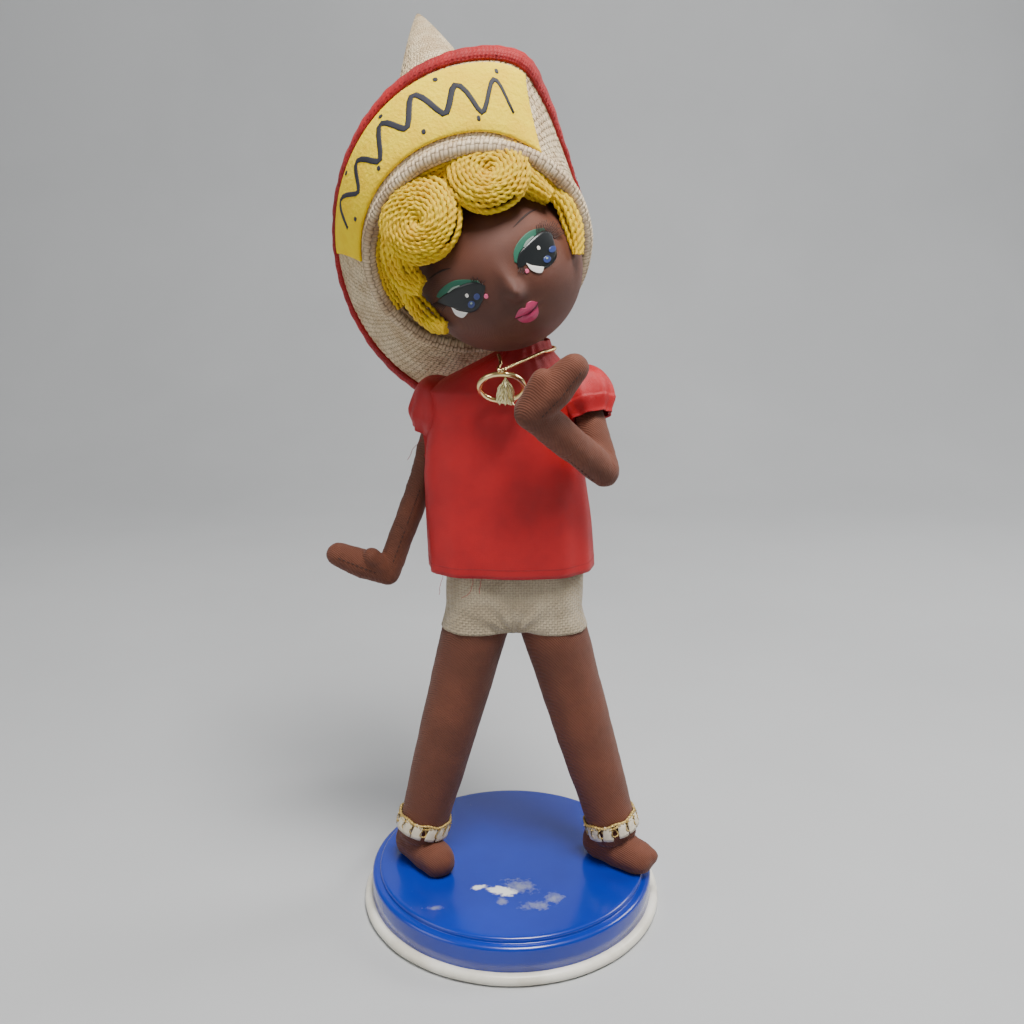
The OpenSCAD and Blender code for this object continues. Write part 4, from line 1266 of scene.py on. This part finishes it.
# %% The doll's left eye, on the right as one looks at it
painted("left_lid", [(5.3, 0.2), (6.6, 2.6), (8.6, 4.1), (11.8, 5.1), (14.8, 5.0), (17.9, 3.6)],
        [(5.9, -0.6), (7.4, 1.2), (9.0, 2.0), (13.3, 3.0), (15.9, 3.1), (18.0, 2.7)], lid_green, 0.16)
painted("left_eye", [(5.4, -1.6), (6.3, 0.2), (8.3, 1.7), (11.2, 2.6), (14.8, 3.2), (17.4, 3.0),
                     (19.0, 1.0)],
        [(5.4, -1.6), (6.6, -2.2), (8.2, -2.4), (11.2, -5.8), (14.4, -6.2), (17.2, -4.6), (19.0, 1.0)],
        eye_black, 0.26)
painted("left_streak", [(9.9, 2.5), (11.6, 3.35), (13.9, 3.5)], [(10.1, 2.1), (11.9, 2.7), (13.9, 3.1)],
        lid_pale, 0.38)
painted("left_white", [(8.1, -1.9), (9.3, -3.5), (11.8, -5.7)],
        [(8.1, -1.9), (8.3, -4.6), (10.0, -6.6), (11.8, -5.7)], eye_white, 0.38)
dot("left_pink", 7.0, -3.9, 0.65, 0.65, eye_pink, 0.3)
dot("left_glint", 13.6, -0.3, 0.45, 0.6, eye_white, 0.42)
dot("left_blue_1", 16.7, -2.9, 1.1, 0.9, eye_blue, 0.42)
dot("left_blue_2", 13.8, -4.4, 1.1, 1.0, eye_blue, 0.42)
dot("left_blue_glint", 13.9, -4.1, 0.35, 0.3, lid_pale, 0.54)
painted("left_brow", [(10.3, 8.7), (13.6, 9.6), (16.6, 9.9), (18.7, 9.3)],
        [(10.3, 8.6), (13.6, 9.1), (16.6, 9.4), (18.7, 9.2)], brow_brown, 0.14, across=4)

# %% The doll's right eye
painted("right_lid", [(-20.4, 3.9), (-18.6, 4.9), (-15.6, 5.4), (-12.6, 5.1), (-9.6, 3.6), (-6.6, 1.4)],
        [(-19.9, 3.1), (-18.0, 3.2), (-15.6, 3.2), (-12.6, 3.0), (-9.4, 2.3), (-6.5, 0.7)], lid_green, 0.16)
painted("right_eye", [(-21.0, 2.5), (-18.6, 3.1), (-15.6, 3.25), (-12.4, 3.1), (-8.9, 2.2), (-6.7, 0.8),
                      (-5.6, -1.0)],
        [(-21.0, 2.5), (-19.3, 0.3), (-17.6, -1.8), (-15.0, -4.6), (-12.0, -5.6), (-9.0, -4.4),
         (-7.0, -2.6), (-5.6, -1.0)],
        eye_black, 0.26)
painted("right_streak", [(-16.4, 3.3), (-14.4, 3.75), (-12.2, 3.3)],
        [(-16.4, 3.0), (-14.4, 3.15), (-12.2, 2.9)], lid_pale, 0.38)
painted("right_white", [(-18.0, -1.1), (-16.7, -3.1), (-14.4, -4.9)],
        [(-18.0, -1.1), (-18.1, -3.6), (-16.6, -5.4), (-14.4, -4.9)], eye_white, 0.38)
dot("right_pink", -7.0, -3.6, 0.65, 0.7, eye_pink, 0.3)
dot("right_glint", -12.0, -0.5, 0.5, 0.6, eye_white, 0.42)
dot("right_blue_1", -9.5, -2.3, 1.0, 0.9, eye_blue, 0.42)
dot("right_blue_2", -12.2, -3.4, 1.15, 1.0, eye_blue, 0.42)
dot("right_blue_glint", -12.0, -3.1, 0.35, 0.3, lid_pale, 0.54)
painted("right_brow", [(-19.6, 9.6), (-16.4, 9.9), (-13.6, 9.6), (-11.6, 8.7)],
        [(-19.6, 9.4), (-16.4, 9.4), (-13.6, 9.1), (-11.6, 8.6)], brow_brown, 0.14, across=4)

# %% Lips
painted("upper_lip", [(-3.3, -13.6), (-1.8, -12.4), (-0.2, -11.9), (0.8, -12.4), (1.9, -11.7), (3.4, -11.9),
                      (4.7, -13.2)],
        [(-3.3, -13.7), (-1.4, -14.2), (0.4, -14.5), (1.6, -14.5), (2.8, -14.4), (4.0, -14.0),
         (4.7, -13.3)], lip_pink, 0.12)
painted("lower_lip", [(-3.2, -13.8), (-1.4, -14.3), (0.6, -14.6), (2.6, -14.5), (4.6, -13.5)],
        [(-3.2, -13.9), (-2.2, -16.0), (0.3, -17.2), (2.8, -16.6), (4.6, -13.7)], lip_pink, 0.12)
painted("lip_line_left", [(2.3, -14.35), (3.6, -14.05), (4.9, -13.2)],
        [(2.3, -14.55), (3.6, -14.45), (4.9, -13.5)], lip_dark, 0.24)
painted("lip_line_right", [(-3.6, -13.7), (-2.2, -13.9), (-0.9, -14.2)],
        [(-3.6, -13.9), (-2.2, -14.4), (-0.9, -14.4)], lip_dark, 0.24)


# %% Eyelashes: thin spikes that fan out from the upper corner of each eye
def lashes(name, root_line, fan, count, length, seed):
    """Spikes from a line on the face; fan is the way they point at each end of it."""
    random.seed(seed)
    paths, line = [], smooth_line(root_line, count)
    for i, (u, v) in enumerate(line):
        way = unit(lerp(np.array(fan[0], float), np.array(fan[1], float), i / (count - 1)))
        reach = length * random.uniform(0.75, 1.1)
        paths.append([face_at(u + way[0] * reach * k, v + way[1] * reach * k, 0.2 + 0.9 * math.sin(1.4 * k))
                      for k in np.linspace(0, 1, 5)])
    return dress(strand(name, paths, 0.13, brow_brown, 1, 0.0, 0), brow_brown, "head", ())


lashes("left_lashes", [(15.0, 2.9), (17.2, 2.8), (18.6, 1.4), (18.9, -0.6)], [(0.3, 1), (1, -0.1)], 16, 2.6,
       5)
lashes("left_low_lashes", [(6.8, -2.6), (5.8, -2.0)], [(-0.4, -1), (-1, -0.5)], 4, 1.6, 6)
lashes("right_lashes", [(-21.0, 2.4), (-20.2, 1.4), (-19.2, 0.2)], [(-1, 0.1), (-1, -0.5)], 8, 1.6, 7)
lashes("right_inner_lashes", [(-8.3, 2.0), (-7.2, 1.3), (-6.2, 0.2)], [(0.5, 1), (1, 0.1)], 7, 1.6, 8)

# %% [markdown]
# ## Hat
# The hat is a cone of woven straw, pulled forward on the head, whose wide brim is turned back
# against the cone. Its opening, the brim's bound edge and the cone's tip give the whole shape:
# the brim is the band between the opening's curve and the bound edge's curve. The weave is real
# relief on a dense grid, and the roll where the brim turns back shows the straw wrapped round.

# %% The hat's curves, as in the frame
HAT = HEAD + at(-7, -1.5, 4.6)
TIP = HEAD + at(-29.5, 62.5, 84)
OPEN_W, OPEN_H, OPEN_TURN = 34.2, 30.5, math.radians(20)
BRIM_W, BRIM_H, STRAW, ROLL_R = 51.5, 58.5, 1.3, 2.3
BRIM_END = 0.93


def fold_line(t, less=0.0):
    """The opening's curve at t degrees, made smaller by less."""
    a = np.radians(t)
    u, v = (OPEN_W - less) * np.cos(a), (OPEN_H - less) * np.sin(a)
    x = u * math.cos(OPEN_TURN) - v * math.sin(OPEN_TURN)
    z = u * math.sin(OPEN_TURN) + v * math.cos(OPEN_TURN)
    return HAT + np.stack([x, 0.1 * x - 0.62 * z, z], -1)


def edge_line(t):
    """The brim's bound edge; it is pressed in on the doll's left."""
    t = np.asarray(t, float) % 360
    a = np.radians(t)
    press_x = np.where(t < 180, 0.58 + 0.42 * ramp(60, 100, t),
                       1 - 0.6 * ramp(240, 320, t) + 0.18 * ramp(320, 360, t))
    press_z = np.where(t < 180, 0.6 + 0.4 * ramp(20, 70, t), 1 - 0.45 * ramp(240, 330, t))
    x, z = BRIM_W * press_x * np.cos(a), BRIM_H * press_z * np.sin(a)
    return HEAD + np.stack([x - 2.5, 17.5 - 0.4 * z, z + 5.4], -1)


def brim_middle(t, s):
    inner, rim = fold_line(t), edge_line(t)
    out = inner - HAT
    out = out / np.linalg.norm(out, axis=-1, keepdims=True)
    s = np.asarray(s, float)[..., None]
    return inner + (rim - inner) * s + np.sin(math.pi * s) * (2.2 * out - at(0, 0.8, 0))


def brim(t, s, off=0.0):
    """A point on the brim, off its middle towards the front."""
    t, s = np.broadcast_arrays(np.asarray(t, float), np.asarray(s, float))
    along = brim_middle(t + 1, s) - brim_middle(t - 1, s)
    outwards = brim_middle(t, s + 0.02) - brim_middle(t, s - 0.02)
    front = np.cross(outwards, along)
    front = front / np.linalg.norm(front, axis=-1, keepdims=True)
    return brim_middle(t, s) + np.asarray(off, float)[..., None] * front


def plait(u, v, height):
    """Relief of a basket weave: u and v count threads."""
    a, b = np.sin(math.pi * u), np.sin(math.pi * v)
    return height * np.where(a * b > 0, np.abs(a), np.abs(b)) ** 0.6


# %% Brim
T, S = np.meshgrid(np.linspace(0, 360, 560, endpoint=False), np.linspace(0, BRIM_END, 80))
threads_round, threads_out = 140, 24
relief = plait(T / 360 * threads_round, S * threads_out + 0.5 * np.sin(np.radians(T) * 3), 0.32)
front_rows = brim(T, S, STRAW / 2 - 0.2 + relief)
T2, S2 = np.meshgrid(np.linspace(0, 360, 560, endpoint=False), np.linspace(BRIM_END, 0, 26))
back_rows = brim(T2, S2, -STRAW / 2 + 0.0 * T2)
brim_straw = outward(grid("brim_straw", np.concatenate([front_rows, back_rows]), size=(260, 60),
                          wrap_rows=True))
dress(brim_straw, straw, "head", ["hat_brim"])

# %% Roll, with the straw wrapped round it
T, A = np.meshgrid(np.linspace(0, 360, 1020, endpoint=False),
                   np.linspace(0, 2 * math.pi, 16, endpoint=False))
middle = fold_line(T)
out = middle - HAT
out = out / np.linalg.norm(out, axis=-1, keepdims=True)
wraps = 0.24 * np.abs(np.sin(np.radians(T) * 85 + 0.5 * A)) ** 0.6 + 0.12 * np.sin(np.radians(T) * 7) ** 2
radius = (ROLL_R - 0.1 + wraps)[..., None]
roll_rows = middle + radius * (np.cos(A)[..., None] * out + np.sin(A)[..., None] * at(0.1, 0.85, 0.53))
roll = outward(grid("hat_roll", np.transpose(roll_rows, (1, 0, 2)), size=(14, 205), wrap_rows=True))
dress(roll, straw_roll, "head", ())

# %% Crown
T, S = np.meshgrid(np.linspace(0, 360, 560, endpoint=False), np.linspace(0.0, 0.995, 110))
axis = HAT + S[..., None] * (TIP - HAT)
ray = fold_line(T) - HAT
share = 0.08 + 0.92 * (1 - S) ** 0.85
length = np.linalg.norm(ray, axis=-1) * share
ribs = plait(T / 360 * 64, S * 60, 0.55) * np.clip(share * 1.6, 0.25, 1)
crown_r = np.maximum(0.3, length - ROLL_R - 0.2 + ribs)[..., None]
crown_outer = axis + ray / np.linalg.norm(ray, axis=-1, keepdims=True) * crown_r
crown = outward(grid("crown_straw", crown_outer, size=(230, 105)))
fill_hole(crown, TIP, 12)
thicken(outward(crown), 1.0)
dress(crown, straw, "head", ["hat_crown"])
print("hat:", len(brim_straw.data.polygons), len(roll.data.polygons), len(crown.data.polygons), "faces")


# %% [markdown]
# Red cotton tape is folded over the brim's edge and stitched through near its inner edge. A
# yellow felt patch is glued across the front of the brim. On the real doll it carries hand
# lettering; here it has a plain inked wave with dots, which says nothing.

# %% Binding and its stitches
t_all = np.linspace(0, 360, 420, endpoint=False)
wrap, inner_s = STRAW / 2 + 0.5, BRIM_END - 4 / 30 + 0.05
section = [(inner_s, wrap), (inner_s + 0.004, wrap + 0.55), (0.95, wrap + 0.75), (1.0, wrap + 0.45),
           (1.018, wrap * 0.4), (1.02, -wrap * 0.4), (1.0, -wrap - 0.45), (0.95, -wrap - 0.7),
           (inner_s + 0.004, -wrap - 0.55), (inner_s, -wrap)]
ripple = 0.1 * np.sin(np.radians(t_all) * 63) + 0.08 * np.sin(np.radians(t_all) * 29)
binding_rows = []
for s, off in section:
    moved = off + ripple * (0 if abs(off) < wrap else 1)
    binding_rows.append(brim(t_all, np.full_like(t_all, s), moved))
binding_rows = np.array(binding_rows)
binding = outward(grid("edge_binding", np.transpose(binding_rows, (1, 0, 2)), size=(12, 330),
                       wrap_rows=True))
dress(binding, tape, "head", ["hat_binding"])
line_t = np.linspace(0, 360, 190, endpoint=False)
line = brim(line_t, np.full_like(line_t, inner_s + 0.03), np.full_like(line_t, wrap + 0.72))
beyond = brim(line_t, np.full_like(line_t, inner_s + 0.03), np.full_like(line_t, wrap + 1.72))
places = [(line[i], line[(i + 1) % len(line)] - line[i], beyond[i] - line[i]) for i in range(len(line))]
dress(copies_at("binding_stitches", places, stitch(1.1, 0.26), thread_red), thread_red, "head", ())


# %% Felt patch
def patch_turn(i, s):
    """The patch's ends slant: i runs along it and s from the roll to the bound edge."""
    return lerp(lerp(42, 68, s), lerp(166, 178, s), i)


LOW, HIGH, FELT, FELT_OFF = 0.13, 0.8, 1.0, STRAW / 2 + 0.32
I, K = np.meshgrid(np.linspace(0, 1, 260), np.linspace(0, 1, 40))
border = np.minimum(np.minimum(I * 26, (1 - I) * 26), np.minimum(K * 9, (1 - K) * 9))
edge_drop = 0.45 * (1 - np.sqrt(np.clip(border, 0, 1)))
fuzz = np.array([[noise.noise(Vector((i * 120, k * 32, 1.0))) for i in I[0]] for k in K[:, 0]])
top_rows = brim(patch_turn(I, K), LOW + (HIGH - LOW) * K, FELT_OFF + FELT - edge_drop + 0.07 * fuzz)
low_rows = brim(patch_turn(I, K), LOW + (HIGH - LOW) * K, np.full_like(I, FELT_OFF - 0.25))
patch_rows = np.concatenate([top_rows, low_rows[::-1]])
patch = outward(grid("felt_patch_cloth", np.transpose(patch_rows, (1, 0, 2)), size=(40, 100), caps=True))
dress(patch, felt, "head", ["hat_patch"])


def inked(name, centre_line, half_width):
    """A flat inked stroke on the felt: centre_line gives (along, across) in shares of the patch."""
    line = smooth_line(centre_line, 60)
    way = np.gradient(line, axis=0) * np.array([100, 21])
    side = np.stack([-way[:, 1], way[:, 0]], 1)
    side = side / np.linalg.norm(way, axis=1, keepdims=True) / np.array([100, 21])
    taper = half_width * (0.35 + 0.65 * np.sin(np.linspace(0.15, math.pi - 0.15, 60)) ** 0.5)
    rows = []
    for k in (-1, -0.5, 0, 0.5, 1):
        p = line + side * (k * taper)[:, None]
        rows.append(brim(patch_turn(p[:, 0], p[:, 1]), LOW + (HIGH - LOW) * p[:, 1],
                         np.full(60, FELT_OFF + FELT + 0.16 - 0.05 * k * k)))
    return dress(thicken(outward(grid(name, rows, wrap_cols=False)), 0.12), ink, "head", ())


waves = [(0.1 + 0.8 * k / 12, 0.5 + (0.16 + 0.05 * (k % 3)) * (1 if k % 2 else -1)) for k in range(13)]
inked("inked_wave", waves, 1.0)
for k in range(8):
    place = 0.15 + 0.1 * k
    inked(f"inked_dot_{k + 1}", [(place - 0.007, 0.16 if k % 2 else 0.84), (place, 0.16 if k % 2 else 0.84),
                                 (place + 0.007, 0.16 if k % 2 else 0.84)], 0.75)

# %% [markdown]
# ## Hair
# Yellow wool comes out from under the roll and is laid in flat coils on the brow, with looped
# locks at the cheeks. Each coil is three twisted yarns wound in one spiral, with more turns under
# its edge, and each lock is a bundle of yarns that follow one bent line.


# %% Yarn
def yarn(name, paths, seed):
    """Two-ply yarn along the paths, with the small waves that hand-laid wool has."""
    waved = []
    for k, path in enumerate(paths):
        path = np.asarray(path, float)
        shift = [noise.noise_vector(Vector(p / 4.0) + Vector((seed, 3.1 * k, 0))) for p in path]
        waved.append(path + 0.35 * np.array(shift))
    return dress(strand(name, waved, 0.76, wool, 2, 0.26, 230), wool, "head", ())


# %% Coils
def coil(name, centre, radius, lean, hand, seed, pitch=1.28):
    """A coil of yarn in front of the brow; hand is 1 or -1, the way it winds."""
    c, s = math.cos(math.radians(lean)), math.sin(math.radians(lean))
    yaw = math.radians(centre[0] * 1.1)

    def place(x, z, out):
        """x and z across the coil, out towards the front, leaned back and turned with the brow."""
        y, z2 = z * s - out * c, z * c + out * s
        return on_head(at(centre[0] + x * math.cos(yaw) - y * math.sin(yaw),
                          centre[1] + x * math.sin(yaw) + y * math.cos(yaw), centre[2] + z2))

    def dome(r):
        return 4.0 - 3.6 * (r / radius) ** 4 - 1.8 * math.exp(-(r / 1.8) ** 2)

    spirals = []
    plies = 3
    for k in range(plies):
        first = 0.5
        turns = (radius - first) / (pitch * plies)
        steps = int(turns * 90)
        angle = np.linspace(0, turns * 2 * math.pi, steps)
        r = first + pitch * plies * angle / (2 * math.pi)
        a = angle + 2 * math.pi * k / plies
        stretch = 1 + 0.14 * np.cos(a - 1.9) * r / radius
        spirals.append([place(hand * q * w * math.cos(b), q * w * math.sin(b), dome(q))
                        for q, b, w in zip(r, a, stretch)])
    rim = []
    for k, q in ((1, radius + 0.1), (2, radius - 0.3), (3, radius - 0.9), (4, radius - 1.6)):
        row = []
        for b in np.linspace(0, 2 * math.pi, 70):
            r = q * (1 + 0.14 * math.cos(b - 1.9))
            row.append(place(hand * r * math.cos(b), r * math.sin(b), dome(radius) - 1.2 * k))
        rim.append(row)
    return yarn(name, spirals + rim, seed)


curl = coil("brow_curl_left", at(-11.5, -21.0, 24.0), 12.6, 22, 1, 41)
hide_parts("hair_curls")
coil("brow_curl_right", at(12.3, -20.6, 25.0), 12.2, 22, -1, 42)


# %% Rows of yarn under the roll, which fill what shows between the coils
def under_roll():
    paths = []
    for k in range(7):
        angles = np.linspace(18, 196, 80)
        line = fold_line(angles, 2.6 + 1.25 * k)
        paths.append(line + at(0, -1.2 - 0.25 * k, 0))
    return yarn("fringe_rows", paths, 43)


under_roll()


# %% Locks
def lock(name, line, wide, count, seed, blunt=0.35):
    """A bundle of yarns along a line in the head's frame, widest in the middle."""
    random.seed(seed)
    base = smooth_line(line, 30)
    tangent = np.gradient(base, axis=0)
    out = base / np.linalg.norm(base, axis=1, keepdims=True) + at(0, -0.6, 0)
    side = np.cross(tangent, out)
    side /= np.linalg.norm(side, axis=1, keepdims=True)
    out = out / np.linalg.norm(out, axis=1, keepdims=True)
    paths = []
    for i in range(count):
        for layer in (0, 1, 2):
            share = (i + 0.5 * (layer % 2)) / (count - 0.5) * 2 - 1
            spread = np.sin(np.linspace(blunt, math.pi - 0.3, 30)) ** 0.7
            drift = random.uniform(-0.08, 0.08)
            height = 1.6 - 1.8 * share * share - 1.0 * layer
            across = side * (wide * (share + drift) * spread)[:, None]
            paths.append(on_head(base + across + out * (height * spread)[:, None]))
    return yarn(name, paths, seed)


first_lock = lock("cheek_lock_left", [(-19.5, -19.0, 28.5), (-23.8, -18.5, 22.0), (-25.4, -18.0, 14.5),
                                      (-22.6, -19.5, 8.6)],
                  4.9, 8, 21, 0.6)
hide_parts("hair_locks")
lock("cheek_lock_left_low", [(-27.5, -13, 13.4), (-28.2, -12, 5.0), (-27.0, -12.0, -1.5),
                             (-23.6, -15.0, -5.8)], 2.8, 5, 22)
lock("brow_sweep", [(12.5, -20, 27.0), (19, -19, 24.0), (22.6, -17.5, 17.0), (24.8, -15.5, 10.8)], 3.6, 6,
     25, 0.5)
lock("cheek_lock_right", [(25.6, -13, 13.0), (27.4, -12, 6), (26.2, -12.5, -1.5), (23.0, -14.0, -8.6)], 2.7,
     5, 24)

# %% [markdown]
# ## Necklace
# A twisted gilt cord goes round the back and sides of the neck under the chin. A second length
# hangs at the front from one side of the collar to the other, over the top of a gilt ring with a
# puff of tinsel in it. It rests just above the ring and isn't threaded through it.

# %% Cord, ring and tassel
RING_D, RING_T, RING_TILT, CORD_D = 16.0, 1.8, math.radians(45), 1.1
ring_c = at(NECK[0] - 8, -20.5, NECK[2] - 11.5)
ring_top = ring_c + (RING_D / 2 + CORD_D / 2 + 0.15) * at(0, -math.sin(RING_TILT), math.cos(RING_TILT))
collar = (NECK + at(-9, -9.5, -2.5), NECK + at(6, -9.5, -1.2))
route = [collar[0], lerp(collar[0], ring_top, 0.5) + at(0.2, 0.1, 0), ring_top + at(-0.9, 0, 0.5),
         ring_top + at(0, -0.1, -0.1), ring_top + at(0.9, 0, 0.5),
         lerp(ring_top, collar[1], 0.5) + at(0, -0.3, 0.1), collar[1]]
route = smooth_line(route, 90)
hanging = strand("pendant_cord_gilt", [route], CORD_D / 2, gilt, 2, 0.24, 380)
dress(hanging, gilt, "necklace", ["pendant_cord"])
neck_turns = np.linspace(-1.0, math.pi + 0.82, 120)
round_neck = [NECK + at(9.4 * math.cos(a), 9.6 * math.sin(a), -2.1 + 0.6 * math.cos(a)) for a in neck_turns]
dress(strand("neck_cord_gilt", [round_neck], CORD_D / 2, gilt, 2, 0.16, 420), gilt, "torso", ["neck_cord"])

turns = np.linspace(0, 2 * math.pi, 120, endpoint=False)
ring_rows = []
for a in turns:
    way = at(math.cos(a), -math.sin(a) * math.sin(RING_TILT), math.sin(a) * math.cos(RING_TILT))
    up = at(0, math.cos(RING_TILT), math.sin(RING_TILT))
    ring_rows.append([ring_c + way * ((RING_D - RING_T) / 2 + RING_T / 2 * math.cos(b))
                      + up * (RING_T / 2 * math.sin(b))
                      for b in np.linspace(0, 2 * math.pi, 20, endpoint=False)])
ring_obj = outward(grid("pendant_ring_gilt", ring_rows, size=(6, 50), wrap_rows=True))
dress(ring_obj, gilt, "necklace", ["pendant_ring"])

random.seed(31)
tinsel_paths = []
tassel_top = ring_c + at(1.2, -4.4, 3.6)
for i in range(100):
    a, wide = random.uniform(0, 2 * math.pi), random.uniform(0.3, 3.2)
    end = ring_c + at(1.2 + wide * math.cos(a), -2.8 + 0.6 * wide * math.sin(a),
                      -4.2 + random.uniform(-0.8, 1.5))
    middle = lerp(tassel_top, end, 0.5) + at(random.uniform(-1.3, 1.3), random.uniform(-1.6, 0.2), 0.4)
    crinkle = np.array([[random.uniform(-0.25, 0.25) for _ in "xyz"] for _ in range(9)])
    tinsel_paths.append(smooth_line([tassel_top, middle, end], 9) + crinkle)
tassel = strand("tinsel_tassel", tinsel_paths, 0.2, tinsel, 1, 0.0, 0)
dress(tassel, tinsel, "necklace", ["pendant_tassel"])
